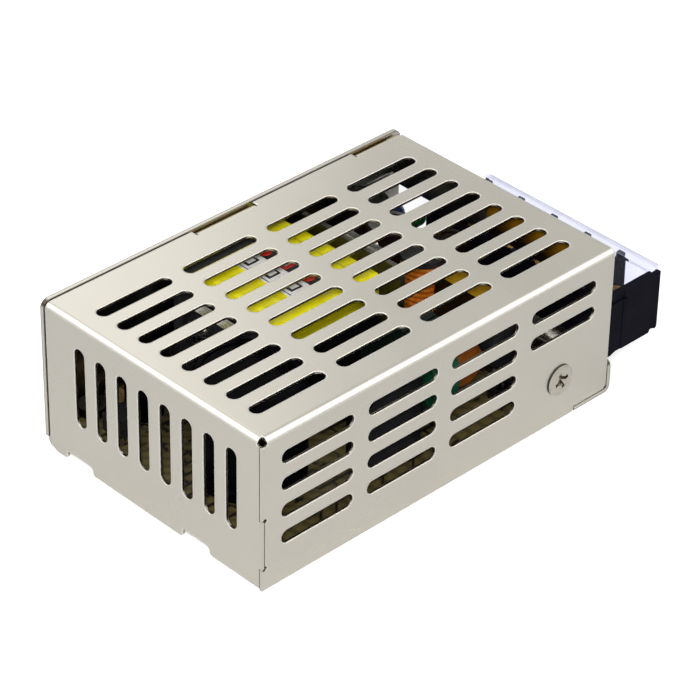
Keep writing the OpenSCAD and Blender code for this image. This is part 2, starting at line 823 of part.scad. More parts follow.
out_cap_far = [15.6, 13.2];
out_cap_left = [14.4, 6.2];
small_cap_d = 5.8;
small_cap_h = 12;
small_cap_far = 6.8;
small_cap_left = 20;

// Output capacitors: two large and one small
module output_capacitors() {
    color([0.15, 0.11, 0.1]) {
        for (i = [0, 1]) translate([from_far(out_cap_far[i]), from_left(out_cap_left[i]), board_top])
            standing_capacitor(out_cap_d, out_cap_h);
        translate([from_far(small_cap_far), from_left(small_cap_left), board_top])
            standing_capacitor(small_cap_d, small_cap_h);
    }
}

supply_cap_d = 6.3;
supply_cap_h = 11;
supply_cap_near = 11.6;
supply_cap_left = 10.8;

// Supply capacitor beside the switching transistor
module supply_capacitor() {
    color([0.1, 0.12, 0.2]) translate([from_near(supply_cap_near), from_left(supply_cap_left), board_top])
        standing_capacitor(supply_cap_d, supply_cap_h);
}

// Round leads that stand on the board, one at each x
module leads(xs, y, h) {
    for (x = xs) translate([x, y, board_top]) cylinder(d = lead_d, h = h, $fn = 24);
}

bridge_far = 54.5;
bridge_right = 2.7;

// Flat bridge rectifier that stands along the right side
module bridge_rectifier() {
    size = [12.8, 3.6, 12.4];
    foot = 2.2;
    notch = 2.4;
    lead_pitch = 3.2;
    x = from_far(bridge_far);
    y = from_right(bridge_right);
    color([0.12, 0.12, 0.13]) {
        plate_xz(y, size[1]) translate([x, board_top + foot]) polygon([
            [0, 0],
            [size[0], 0],
            [size[0], size[2]],
            [notch, size[2]],
            [0, size[2] - notch]
        ]);
        leads([for (i = [0 : 3]) x + (i + 0.5) * lead_pitch], y + size[1] / 2, foot + 0.2);
    }
}

// Line choke: places of its ring
choke_far = 36.6;
choke_right = 12.2;
choke_x = from_far(choke_far);
choke_y = from_right(choke_right);
choke_bore = 7;
wire_d = 0.9;
choke_z = board_top + choke_d / 2 + wire_d + 0.1;

// Ring about X, from a flat section of inner and outer radius and width
module ring_section(r0, r1, w) {
    translate([r0, -w / 2]) square([r1 - r0, w]);
}

// Layer of turns round a ring, from angle a on: a thin bed with one raised rib for each turn
module ring_winding(r0, r1, w, a, turns, step) {
    rib = 0.8;
    rotate(a) difference() {
        union() {
            intersection() {
                winding_layer(r0, r1, w, wire_d / 2);
                for (k = [0 : turns * step / 60 - 1]) sector(2 * r1, w, k * 60, 60);
            }
            intersection() {
                winding_layer(r0, r1, w, wire_d);
                for (i = [0 : turns - 1]) sector(2 * r1, w, (i + (1 - rib) / 2) * step, rib * step);
            }
        }
        rotate_extrude() ring_section(r0 - wind_gap, r1 + wind_gap, w + 2 * wind_gap);
    }
}

// Full ring that wraps a smaller one by t on every side
module winding_layer(r0, r1, w, t) {
    rotate_extrude() ring_section(r0 - t, r1 + t, w + 2 * t);
}

// Wedge of a disc about Z, from angle a over the angle span
module sector(r, w, a, span) {
    rotate(a) translate([0, 0, -w]) linear_extrude(2 * w)
        polygon([[0, 0], [r, 0], [r * cos(span), r * sin(span)]]);
}

// Ring core of the line choke, upright across the case
module choke_core() {
    color([0.05, 0.35, 0.2]) translate([choke_x + choke_w / 2, choke_y, choke_z]) rotate([0, 90, 0])
        rotate_extrude() ring_section(choke_bore / 2, choke_d / 2, choke_w);
}

// Two copper windings on the line choke
module choke_windings() {
    color([0.75, 0.38, 0.12]) translate([choke_x + choke_w / 2, choke_y, choke_z]) rotate([0, 90, 0])
        for (a = [-60, 80]) ring_winding(choke_bore / 2, choke_d / 2, choke_w, a, 10, 12);
}

// Filter inductor: a wound drum that stands on the board
inductor_d = 7.8;
inductor_rod_d = 3.6;
inductor_h = 14;
inductor_end = 1;
inductor_turns = 12;
inductor_far = 15.6;
inductor_left = 22.4;

// Drum core of the filter inductor: a rod between two end discs
module inductor_core() {
    color([0.17, 0.17, 0.18]) translate([from_far(inductor_far), from_left(inductor_left), board_top]) {
        cylinder(d = inductor_rod_d, h = inductor_h);
        for (z = [0, inductor_h - inductor_end])
            translate([0, 0, z]) cylinder(d = inductor_d, h = inductor_end);
    }
}

// Copper winding of the filter inductor, one raised ring for each turn
module inductor_winding() {
    pitch = (inductor_h - 2 * inductor_end - 2 * wind_gap) / inductor_turns;
    inner_r = inductor_rod_d / 2 + wind_gap;
    turn_r = inductor_d / 2 - wire_d / 2 - wind_gap;
    z0 = board_top + inductor_end + wind_gap;
    color([0.78, 0.4, 0.12]) translate([from_far(inductor_far), from_left(inductor_left), z0])
        rotate_extrude() {
            translate([inner_r, 0]) square([turn_r - inner_r, inductor_turns * pitch]);
            for (i = [0 : inductor_turns - 1]) translate([turn_r, (i + 0.5) * pitch]) circle(d = wire_d);
        }
}

// Dipped disc on two leads, its face across Y; the disc's edge is rounded
module dipped_disc(x, y, d, t) {
    foot = 2.2;
    edge = t / 3;
    z = foot + d / 2;
    translate([x, y, board_top + z]) rotate([90, 0, 0]) {
        rotate_extrude() {
            translate([0, -t / 2]) square([d / 2 - edge, t]);
            translate([0, -t / 2 + edge]) square([d / 2, t - 2 * edge]);
            for (s = [-1, 1]) translate([d / 2 - edge, s * (t / 2 - edge)]) circle(edge);
        }
    }
    leads([x - d / 4, x + d / 4], y, foot + d / 4);
}

// Discs: diameter, thickness and places
disc_t = 3.6;
varistor_d = 7.8;
varistor_far = 25.6;
varistor_right = 9.8;
thermistor_d = 9;
thermistor_far = 16.8;
thermistor_right = 8.6;
safety_d = 8.2;
safety_t = 2.6;
safety_far = 5.4;
safety_left = 3.4;

// Surge suppressor beside the choke
module varistor() {
    color([0.85, 0.45, 0.1])
        dipped_disc(from_far(varistor_far), from_right(varistor_right), varistor_d, disc_t);
}

// Inrush limiter in front of the line capacitor
module thermistor() {
    color([0.1, 0.1, 0.11])
        dipped_disc(from_far(thermistor_far), from_right(thermistor_right), thermistor_d, disc_t);
}

// Safety capacitor beside the left wall
module safety_capacitor() {
    color([0.12, 0.35, 0.7]) dipped_disc(from_far(safety_far), from_left(safety_left), safety_d, safety_t);
}

line_cap_far = 17.8;
line_cap_left = 40.4;
line_cap_size = [6.2, 13.4, 13];

// Boxed line capacitor
module line_capacitor() {
    r = 0.6;
    color([0.9, 0.65, 0.12]) translate([from_far(line_cap_far), from_left(line_cap_left), board_top])
        linear_extrude(line_cap_size[2]) rounded_rect([line_cap_size[0], line_cap_size[1]], r);
}

// Fuse: places of the tube, which lies across the case
fuse_d = 5.2;
fuse_l = 20;
fuse_cap = 5;
fuse_lift = 1.4;
fuse_far = 7.8;
fuse_right = 2.8;
fuse_x = from_far(fuse_far);
fuse_y = from_right(fuse_right);
fuse_z = board_top + fuse_d / 2 + fuse_lift;

// Glass fuse with its end caps
module fuse() {
    color([0.85, 0.87, 0.88]) translate([fuse_x, fuse_y, fuse_z]) rotate([-90, 0, 0]) {
        cylinder(d = fuse_d - 0.4, h = fuse_l);
        for (y = [0, fuse_l - fuse_cap]) translate([0, 0, y]) cylinder(d = fuse_d, h = fuse_cap);
    }
}

// Spring clips that hold the fuse by its caps
module fuse_clips() {
    t = 0.4;
    w = 3.6;
    gap = 0.05;
    clip_r = fuse_d / 2 + gap;
    color([0.78, 0.77, 0.72]) for (y = [fuse_cap / 2, fuse_l - fuse_cap / 2]) {
        translate([fuse_x, fuse_y + y + w / 2, fuse_z]) rotate([90, 0, 0]) linear_extrude(w) {
            difference() {
                circle(clip_r + t);
                circle(clip_r);
                translate([-clip_r - 1, clip_r * 0.5]) square(2 * clip_r + 2);
            }
            translate([-t, board_top - fuse_z]) square([2 * t, fuse_z - board_top - clip_r - t / 2]);
        }
    }
}

// Trimmer: places of its body and of the rotor's axis
trimmer_size = [4.6, 4.4, 6.4];
trimmer_far = 7.4;
trimmer_gap = 0.5;
trimmer_x = from_far(trimmer_far);
trimmer_y = block_y + block_w + trimmer_gap;
rotor_d = 3.4;
rotor_rise = 3.4;
rotor_y = trimmer_y + trimmer_size[1] / 2;
rotor_z = board_top + rotor_rise;
rotor_depth = 2;

// Body of the output trimmer, open towards the terminal end
module trimmer_body() {
    color([0.1, 0.3, 0.65]) difference() {
        translate([trimmer_x, trimmer_y, board_top]) cube(trimmer_size);
        translate([trimmer_x + trimmer_size[0] - rotor_depth, rotor_y, rotor_z]) rotate([0, 90, 0])
            cylinder(d = rotor_d + 2 * thread_gap, h = rotor_depth + 1);
    }
}

// Rotor of the trimmer with a cross slot for a screwdriver
module trimmer_rotor() {
    proud = 0.3;
    floor_gap = 0.1;
    color([0.95, 0.95, 0.92])
        translate([trimmer_x + trimmer_size[0] + proud, rotor_y, rotor_z]) rotate([0, 90, 0]) difference() {
            translate([0, 0, floor_gap - rotor_depth - proud])
                cylinder(d = rotor_d, h = rotor_depth + proud - floor_gap);
            cross_recess(2.4, 0.9);
        }
}

led_back = 0.3;

// Round indicator lamp over the trimmer, looking out of the terminal end
module indicator_led() {
    d = 3;
    rim = [3.6, 0.8];
    body_l = 3.4;
    x = trimmer_x + led_back;
    z = board_top + trimmer_size[2] + trimmer_gap + rim[0] / 2;
    lead = 0.5;
    lead_side = 1.2;
    lead_back = 1.2;
    color([0.2, 0.75, 0.3]) {
        translate([x, rotor_y, z]) rotate([0, 90, 0]) {
            cylinder(d = rim[0], h = rim[1]);
            cylinder(d = d, h = rim[1] + body_l);
            translate([0, 0, rim[1] + body_l]) intersection() {
                sphere(d = d);
                cylinder(d = d, h = d);
            }
        }
        for (s = [-1, 1]) {
            translate([x - lead_back, rotor_y + s * lead_side - lead / 2, 0]) {
                translate([0, 0, z - lead / 2]) cube([lead_back + rim[1] / 2, lead, lead]);
                translate([0, 0, board_top]) cube([lead, lead, z - board_top]);
            }
        }
    }
}

// Flat heatsink plate across the case with a foot on the board, the foot towards foot_side
module heatsink(x, y, w, h, t, foot_side) {
    foot = [2.6, 6];
    translate([x, y, board_top]) cube([t, w, h]);
    translate([foot_side > 0 ? x : x + t - foot[0], y, board_top]) cube([foot[0], foot[1], t]);
}

// Power package against a heatsink: x is the plate's face, side the way it stands off
module power_package(x, y, side) {
    tab = [1.3, 10, 15];
    body = [4.4, 10, 9];
    foot = 2.6;
    hole_z = foot + 12.4;
    place = side > 0 ? x : x - body[0];
    difference() {
        union() {
            translate([side > 0 ? x : x - tab[0], y, board_top + foot]) cube(tab);
            translate([place, y, board_top + foot]) cube(body);
        }
        translate([x - body[0] - 1, y + tab[1] / 2, board_top + hole_z]) rotate([0, 90, 0])
            cylinder(d = 3.6, h = 2 * body[0] + 2);
    }
    for (s = [-1, 0, 1]) translate([x + side * 2.4 - 0.35, y + tab[1] / 2 + s * 2.54 - 0.35, board_top])
        cube([0.7, 0.7, foot + 0.2]);
}

switch_near = 21;
switch_left = 21.2;
switch_plate_w = 10.5;
switch_plate_left = 21.5;
output_far = 26;
output_left = 21.6;
output_plate_right = 23.4;
output_plate_left = 4.2;
switch_plate_x = from_near(switch_near);
switch_y = from_left(switch_left);
output_plate_x = from_far(output_far);
output_y = from_left(output_left);
plate_t = 1;
plate_h = 17.4;
hole_over_board = 15;

// Heatsink plate of the switching transistor
module switch_heatsink() {
    color([0.7, 0.7, 0.7]) difference() {
        heatsink(switch_plate_x, from_left(switch_plate_left), switch_plate_w, plate_h, plate_t, -1);
        translate([switch_plate_x - 1, switch_y + 5, board_top + hole_over_board]) rotate([0, 90, 0])
            cylinder(d = mount_bore, h = 3);
    }
}

// Switching transistor on the near side of its plate
module switch_transistor() {
    color([0.1, 0.1, 0.11]) power_package(switch_plate_x, switch_y, -1);
}

// Heatsink plate of the output rectifier
module output_heatsink() {
    w = case_w - output_plate_right - output_plate_left;
    color([0.75, 0.75, 0.75]) difference() {
        heatsink(output_plate_x, from_right(output_plate_right), w, plate_h, plate_t, 1);
        translate([output_plate_x - 1, output_y + 5, board_top + hole_over_board]) rotate([0, 90, 0])
            cylinder(d = mount_bore, h = 3);
    }
}

// Output rectifier on the far side of its plate
module output_rectifier() {
    color([0.1, 0.1, 0.11]) power_package(output_plate_x + plate_t, output_y, 1);
}

// Pan-head screw through a power package, its head towards side
module package_screw(x, y, side) {
    tab_t = 1.3;
    head = [4.6, 1.6];
    translate([x, y + 5, board_top + hole_over_board]) rotate([0, 90 * side, 0]) {
        translate([0, 0, tab_t]) cylinder(d = head[0], h = head[1]);
        translate([0, 0, -plate_t]) cylinder(d = mount_bore - 2 * thread_gap, h = plate_t + tab_t + 0.1);
    }
}

// Screws that hold the power packages to their plates
module heatsink_screws() {
    color("silver") {
        package_screw(switch_plate_x, switch_y, -1);
        package_screw(output_plate_x + plate_t, output_y, 1);
    }
}

// Dual in-line package with n legs a side, long way along X
module dual_inline(x, y, l, w, n) {
    h = 3.2;
    lift = 0.6;
    leg = [0.5, 0.3];
    pitch = 2.54;
    translate([x, y, board_top + lift]) cube([l, w, h]);
    for (i = [0 : n - 1], s = [0, 1]) {
        leg_x = x + l / 2 + (i - (n - 1) / 2) * pitch - leg[0] / 2;
        leg_y = y + s * (w + leg[1]) - leg[1];
        translate([leg_x, leg_y, board_top]) cube([leg[0], leg[1], lift + h / 2]);
    }
}

chip_l = 9.4;
chip_w = 6;
chip_gap = 0.8;
chip_right = 12;

// Controller of the converter, beside the choke and across the case
module controller_chip() {
    color([0.09, 0.09, 0.1]) translate([choke_x - wire_d - chip_gap, from_right(chip_right), 0]) rotate(90)
        dual_inline(0, 0, chip_l, chip_w, 4);
}

opto_l = 4.6;
opto_w = 4;
opto_near = 3.4;
opto_left = 14.2;

// Optocoupler behind the near end
module optocoupler() {
    color([0.09, 0.09, 0.1]) dual_inline(from_near(opto_near), from_left(opto_left), opto_l, opto_w, 2);
}

// Axial resistor along X, with its leads bent down to the board
module resistor(x, y, l) {
    d = 2.4;
    reach = 1.6;
    z = board_top + d / 2 + 0.2;
    wire = 0.6;
    translate([x, y, z]) rotate([0, 90, 0]) cylinder(d = d, h = l);
    translate([x - reach, y - wire / 2, z - wire / 2]) cube([l + 2 * reach, wire, wire]);
    for (e = [x - reach, x + l + reach - wire]) {
        translate([e, y - wire / 2, board_top]) cube([wire, wire, z - board_top]);
    }
}

resistor_l = 6.4;
resistor_near = [24.4, 24.4, 10.4];
resistor_right = [20.2, 23.2];
resistor_left = 6;
resistor_y = [from_right(resistor_right[0]), from_right(resistor_right[1]), from_left(resistor_left)];

// Axial resistors
module resistors() {
    color([0.7, 0.55, 0.35])
        for (i = [0 : 2]) resistor(from_near(resistor_near[i]), resistor_y[i], resistor_l);
}

chassis();
cover();
cover_screw();
insulation_film();
circuit_board();
board_posts();
board_screws();
terminal_block();
terminal_contacts();
for (i = [1 : terminal_n]) {
    terminal_screw(i);
    wire_clamp(i);
}
terminal_lid();
transformer_core();
transformer_bobbin();
transformer_winding();
bulk_capacitor();
bridge_rectifier();
choke_core();
choke_windings();
inductor_core();
inductor_winding();
varistor();
thermistor();
line_capacitor();
fuse();
fuse_clips();
output_capacitors();
safety_capacitor();
trimmer_body();
trimmer_rotor();
indicator_led();
switch_transistor();
switch_heatsink();
output_rectifier();
output_heatsink();
heatsink_screws();
controller_chip();
optocoupler();
resistors();
supply_capacitor();
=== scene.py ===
import math

import bmesh
import bpy
from mathutils import Matrix, Vector


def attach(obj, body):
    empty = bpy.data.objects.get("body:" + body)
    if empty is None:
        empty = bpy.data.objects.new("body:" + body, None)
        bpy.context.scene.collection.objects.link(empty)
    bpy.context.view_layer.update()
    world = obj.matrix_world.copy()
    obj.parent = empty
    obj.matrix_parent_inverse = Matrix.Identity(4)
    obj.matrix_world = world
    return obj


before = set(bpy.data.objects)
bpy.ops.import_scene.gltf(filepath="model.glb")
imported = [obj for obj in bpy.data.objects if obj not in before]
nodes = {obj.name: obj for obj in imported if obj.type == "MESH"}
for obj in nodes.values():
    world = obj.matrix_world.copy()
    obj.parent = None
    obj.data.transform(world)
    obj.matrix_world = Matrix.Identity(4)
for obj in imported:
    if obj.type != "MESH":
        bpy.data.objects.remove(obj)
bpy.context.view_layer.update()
scene = bpy.context.scene
scene.view_settings.view_transform = "Standard"

MM = 0.001


def box(name):
    """Lowest and highest x, y and z of a CAD node in the part's frame, in mm to the nearest thousandth."""
    sides = list(zip(*nodes[name].bound_box))
    return [round(min(side) / MM, 3) for side in sides], [round(max(side) / MM, 3) for side in sides]


def middle(name):
    """Middle of a CAD node's box, in mm."""
    low, high = box(name)
    return (Vector(low) + Vector(high)) / 2


# The case in the part's frame, in mm: the middle of its base is the origin
cover_low, cover_high = box("cover")
NEAR, RIGHT = cover_low[:2]
FAR = -NEAR
COVER_TOP, COVER_T = cover_high[2], 0.5
BOARD_TOP = box("circuit_board")[1][2]


def at(x, y, z):
    """A point in mm from the case's near end, right side and floor, taken to the part's frame in metres."""
    return Vector(((NEAR + x) * MM, (RIGHT + y) * MM, z * MM))


# Shader helpers

def link(tree, out, into):
    tree.links.new(out, into)


def node(tree, kind, **values):
    """A new shader node; each value goes to the input of that name, or else to the node's own setting."""
    made = tree.nodes.new("ShaderNode" + kind)
    for name, value in values.items():
        if name in made.inputs:
            made.inputs[name].default_value = value
        else:
            setattr(made, name, value)
    return made


def material(name, rough=0.5, metal=0.0, **sockets):
    """A new material and its node tree and shader, with the constants set on the shader's own sockets."""
    made = bpy.data.materials.new(name)
    made.use_nodes = True
    tree = made.node_tree
    shader = tree.nodes["Principled BSDF"]
    shader.inputs["Roughness"].default_value = rough
    shader.inputs["Metallic"].default_value = metal
    for key, value in sockets.items():
        shader.inputs[key.replace("_", " ")].default_value = value
    return made, tree, shader


def coords(tree, scale=(1, 1, 1)):
    """Object coordinates in metres, stretched by scale."""
    source = node(tree, "TexCoord")
    mapping = node(tree, "Mapping")
    mapping.inputs["Scale"].default_value = scale
    link(tree, source.outputs["Object"], mapping.inputs["Vector"])
    return mapping.outputs["Vector"]


def axes(tree, vector):
    """The X, Y and Z of a vector, by name."""
    split = node(tree, "SeparateXYZ")
    link(tree, vector, split.inputs["Vector"])
    return split.outputs


def noise(tree, size_mm, vector=None, detail=3.0, rough=0.55):
    """Cloudy noise from 0 to 1, with lumps of about size_mm."""
    made = node(tree, "TexNoise", Scale=1 / (size_mm * MM), Detail=detail, Roughness=rough)
    link(tree, vector if vector else coords(tree), made.inputs["Vector"])
    return made.outputs["Fac"]


def ramp(tree, fac, stops, mode="LINEAR"):
    """Colour ramp through (place, colour) stops."""
    made = node(tree, "ValToRGB")
    made.color_ramp.interpolation = mode
    marks = made.color_ramp.elements
    while len(marks) < len(stops):
        marks.new(1.0)
    for mark, (place, colour) in zip(marks, stops):
        mark.position = place
        mark.color = (*colour, 1)
    link(tree, fac, made.inputs["Fac"])
    return made.outputs["Color"]


def two_tone(tree, fac, dark, light):
    """Colour between two tones, over the range that noise mostly takes."""
    return ramp(tree, fac, [(0.3, dark), (0.7, light)])


def spread(tree, fac, low, high, start=0.3, end=0.7):
    """Runs from low to high while fac runs from start to end."""
    made = node(tree, "MapRange")
    made.inputs["From Min"].default_value = start
    made.inputs["From Max"].default_value = end
    made.inputs["To Min"].default_value = low
    made.inputs["To Max"].default_value = high
    link(tree, fac, made.inputs["Value"])
    return made.outputs["Result"]


def math_node(tree, kind, *values):
    """Arithmetic on sockets and plain numbers."""
    made = node(tree, "Math", operation=kind)
    for socket, value in zip(made.inputs, values):
        if isinstance(value, (int, float)):
            socket.default_value = value
        else:
            link(tree, value, socket)
    return made.outputs["Value"]


def mix(tree, fac, a, b):
    """Colour mix of two sockets or colours, by a socket or a number."""
    made = node(tree, "Mix", data_type="RGBA")
    fac_socket, a_socket, b_socket = made.inputs[0], made.inputs[6], made.inputs[7]
    if isinstance(fac, (int, float)):
        fac_socket.default_value = fac
    else:
        link(tree, fac, fac_socket)
    for socket, value in ((a_socket, a), (b_socket, b)):
        if isinstance(value, tuple):
            socket.default_value = (*value, 1)
        else:
            link(tree, value, socket)
    return made.outputs[2]


def bump(tree, shader, height, strength, distance_mm=0.05):
    """Relief on a shader's normal."""
    made = node(tree, "Bump", Strength=strength, Distance=distance_mm * MM)
    link(tree, height, made.inputs["Height"])
    link(tree, made.outputs["Normal"], shader.inputs["Normal"])


# Materials

def speckled(name, dark, light, size_mm, rough=(0.4, 0.6), grain_mm=0.25, grain=0.15, metal=0.0,
             stretch=(1, 1, 1), **sockets):
    """Surface with two tones, uneven gloss and a fine grain."""
    made, tree, shader = material(name, metal=metal, **sockets)
    vector = coords(tree, stretch)
    tone = noise(tree, size_mm, vector)
    link(tree, two_tone(tree, tone, dark, light), shader.inputs["Base Color"])
    fine = noise(tree, grain_mm, vector, detail=2.0)
    link(tree, spread(tree, fine, *rough), shader.inputs["Roughness"])
    bump(tree, shader, fine, strength=grain)
    return made


SEAM = 1.0  # width of the corner seam, whose edges get no painted highlight, in mm
EDGE_RADIUS = 0.36  # of the rounded edges round the slots, which also sets the width of their painted highlight, in mm
EDGE_TURN = (0.88, 0.995)  # cosine to the face's own normal where the painted edge tone is full, and where it begins
BEND_TURN = (0.88, 0.99)  # cosine to the nearest axis where the painted bend tone is full, and where it begins


def edge_paint_mask(tree, rounded):
    """Where the edge tone is painted: 1 on the edges round the slots, where the rounded normal leaves the
    face's own, and 0 by the seam.
    """
    facing = node(tree, "VectorMath", operation="DOT_PRODUCT")
    link(tree, rounded, facing.inputs[0])
    link(tree, node(tree, "NewGeometry").outputs["Normal"], facing.inputs[1])
    place = axes(tree, coords(tree))
    off_seam = math_node(tree, "MAXIMUM",
                         math_node(tree, "SUBTRACT", place["X"], (NEAR + SEAM) * MM),
                         math_node(tree, "SUBTRACT", place["Y"], (RIGHT + SEAM) * MM))
    edge = spread(tree, facing.outputs["Value"], 1, 0, *EDGE_TURN)
    return math_node(tree, "MULTIPLY", edge, math_node(tree, "GREATER_THAN", off_seam, 0.0))


def bends(tree):
    """Where the bend tone is painted: 1 on the bends, whose normals lie along no axis."""
    sizes = node(tree, "VectorMath", operation="ABSOLUTE")
    link(tree, node(tree, "NewGeometry").outputs["Normal"], sizes.inputs[0])
    lean = axes(tree, sizes.outputs["Vector"])
    level = math_node(tree, "MAXIMUM", lean["X"], lean["Y"])
    return spread(tree, math_node(tree, "MAXIMUM", level, lean["Z"]), 1, 0, *BEND_TURN)


def sheet_metal(name, dark, light, painted_edge_tone, rough=(0.25, 0.31), along=(0.06, 1, 1)):
    """Rolled and plated sheet: fine lines, faint clouds, and edges and bends painted in the given tone: a
    painted highlight on the cover, its tongues and cut walls, a painted shade on the chassis.
    """
    made, tree, shader = material(name, metal=1.0)
    clouds = noise(tree, size_mm=22, detail=4.0)
    lines = noise(tree, size_mm=0.5, vector=coords(tree, along), detail=4.0, rough=0.7)
    base = two_tone(tree, mix(tree, 0.15, clouds, lines), dark, light)
    rounded = node(tree, "Bevel", samples=6)
    rounded.inputs["Radius"].default_value = EDGE_RADIUS * MM
    edges = edge_paint_mask(tree, rounded.outputs["Normal"])
    painted_bends = mix(tree, bends(tree), base, painted_edge_tone)
    link(tree, mix(tree, edges, painted_bends, painted_edge_tone), shader.inputs["Base Color"])
    link(tree, spread(tree, clouds, *rough), shader.inputs["Roughness"])
    grain = node(tree, "Bump", Strength=0.006, Distance=0.02 * MM)
    link(tree, lines, grain.inputs["Height"])
    link(tree, rounded.outputs["Normal"], grain.inputs["Normal"])
    link(tree, grain.outputs["Normal"], shader.inputs["Normal"])
    return made


# PAINTED_HIGHLIGHT is a painted highlight on the edges and bends of the cover and of its cut walls
SHEET_DARK, SHEET_LIGHT, PAINTED_HIGHLIGHT = (0.585, 0.56, 0.49), (0.615, 0.59, 0.52), (0.96, 0.93, 0.85)
case_metal = sheet_metal("case_metal", SHEET_DARK, SHEET_LIGHT, PAINTED_HIGHLIGHT)
# The chassis's edges and bends are painted dark: a painted shade
chassis_metal = sheet_metal("chassis_metal", SHEET_DARK, SHEET_LIGHT, (0.10, 0.09, 0.07))
# The tongues' edges and bends carry a lighter painted highlight
tongue_metal = sheet_metal("tongue_metal", (0.47, 0.38, 0.20), (0.55, 0.45, 0.25), (0.60, 0.50, 0.30))
# The cut walls of the slots and of the seam are painted near black: a painted shade
painted_shade_cut_wall = sheet_metal("painted_shade_cut_wall", (0.020, 0.018, 0.013), (0.040, 0.036, 0.027), PAINTED_HIGHLIGHT,
                       rough=(0.3, 0.42), along=(1, 1, 1))

bright_screw = speckled("bright_screw", (0.66, 0.63, 0.57), (0.80, 0.77, 0.70), size_mm=0.9,
                        rough=(0.18, 0.3), grain_mm=0.15, grain=0.08, metal=1.0)
# Dark screws of the board; the same colour is painted shade on the cover screw's wall, the inner fuse cap
# and clip, and the contacts inside the case
dark_screw_and_shade = speckled("dark_screw_and_shade", (0.06, 0.06, 0.06), (0.10, 0.10, 0.10), size_mm=0.9,
                      rough=(0.35, 0.5), grain_mm=0.2, grain=0.1, metal=1.0)
case_screw = speckled("case_screw", (0.50, 0.47, 0.40), (0.58, 0.55, 0.47), size_mm=0.9,
                      rough=(0.26, 0.36), grain_mm=0.15, grain=0.05, metal=1.0)
brass = speckled("contact_brass", (0.36, 0.22, 0.055), (0.48, 0.30, 0.085), size_mm=1.5,
                 rough=(0.36, 0.46), grain_mm=0.3, grain=0.05, metal=1.0)
aluminium = speckled("aluminium_plate", (0.42, 0.41, 0.37), (0.54, 0.53, 0.48), size_mm=2.0,
                     rough=(0.3, 0.42), grain_mm=0.3, grain=0.1, metal=1.0, stretch=(1, 0.1, 1))
tinned = speckled("tinned", (0.62, 0.61, 0.58), (0.76, 0.75, 0.72), size_mm=0.8, rough=(0.2, 0.35),
                  grain_mm=0.2, grain=0.1, metal=1.0)
silver_top = speckled("silver_top", (0.22, 0.22, 0.21), (0.30, 0.30, 0.29), size_mm=1.5,
                      rough=(0.3, 0.42), grain_mm=0.3, grain=0.08, metal=1.0)
copper = speckled("copper_wire", (0.72, 0.17, 0.012), (0.96, 0.29, 0.025), size_mm=0.6, rough=(0.2, 0.35),
                  grain_mm=0.2, grain=0.08, metal=0.1)
# Near-black wire colour, painted as shade on the choke's windings
painted_shade_wire = speckled("painted_shade_wire", (0.006, 0.012, 0.009), (0.012, 0.022, 0.016), size_mm=0.6,
                     rough=(0.35, 0.5), grain_mm=0.2, grain=0.08, Specular_IOR_Level=0.2)
black_block = speckled("block_plastic", (0.005, 0.005, 0.009), (0.008, 0.008, 0.013), size_mm=4.0,
                       rough=(0.45, 0.6), grain=0.12, Specular_IOR_Level=0.02)
film = speckled("film", (0.60, 0.58, 0.48), (0.68, 0.66, 0.56), size_mm=5.0, rough=(0.35, 0.5))
ferrite = speckled("ferrite", (0.035, 0.035, 0.038), (0.060, 0.060, 0.064), size_mm=1.0,
                   rough=(0.5, 0.65), grain_mm=0.2, grain=0.25, Specular_IOR_Level=0.3)
# A near black, painted as shade on the core's right side and on the bridge rectifier
painted_shade_black = speckled("painted_shade_black", (0.004, 0.004, 0.005), (0.009, 0.009, 0.010), size_mm=1.0,
                        rough=(0.5, 0.65), grain_mm=0.2, grain=0.25, Specular_IOR_Level=0.1)
phenolic = speckled("bobbin_plastic", (0.018, 0.010, 0.007), (0.030, 0.018, 0.012), size_mm=2.0,
                    rough=(0.4, 0.55))
black_sleeve = speckled("black_sleeve", (0.0015, 0.0015, 0.002), (0.003, 0.003, 0.004), size_mm=3.0,
                        rough=(0.28, 0.4), grain_mm=0.4, grain=0.06, Specular_IOR_Level=0.02)
brown_sleeve = speckled("brown_sleeve", (0.014, 0.007, 0.006), (0.024, 0.012, 0.010), size_mm=3.0,
                        rough=(0.25, 0.38), grain_mm=0.4, grain=0.06, Specular_IOR_Level=0.25)
epoxy = speckled("black_epoxy", (0.012, 0.012, 0.013), (0.024, 0.024, 0.026), size_mm=0.8,
                 rough=(0.45, 0.6), grain_mm=0.15, grain=0.2, Specular_IOR_Level=0.2)
green_coat = speckled("green_coating", (0.003, 0.075, 0.034), (0.006, 0.11, 0.050), size_mm=2.0,
                      rough=(0.35, 0.5), grain_mm=0.5, Specular_IOR_Level=0.25)
orange_coat = speckled("orange_coating", (0.28, 0.080, 0.010), (0.38, 0.115, 0.016), size_mm=2.0,
                       rough=(0.4, 0.55), grain_mm=0.6, Specular_IOR_Level=0.2)
yellow_box = speckled("yellow_box", (0.50, 0.27, 0.006), (0.62, 0.35, 0.010), size_mm=3.0,
                      rough=(0.45, 0.6), grain_mm=0.3, grain=0.1, Specular_IOR_Level=0.1)
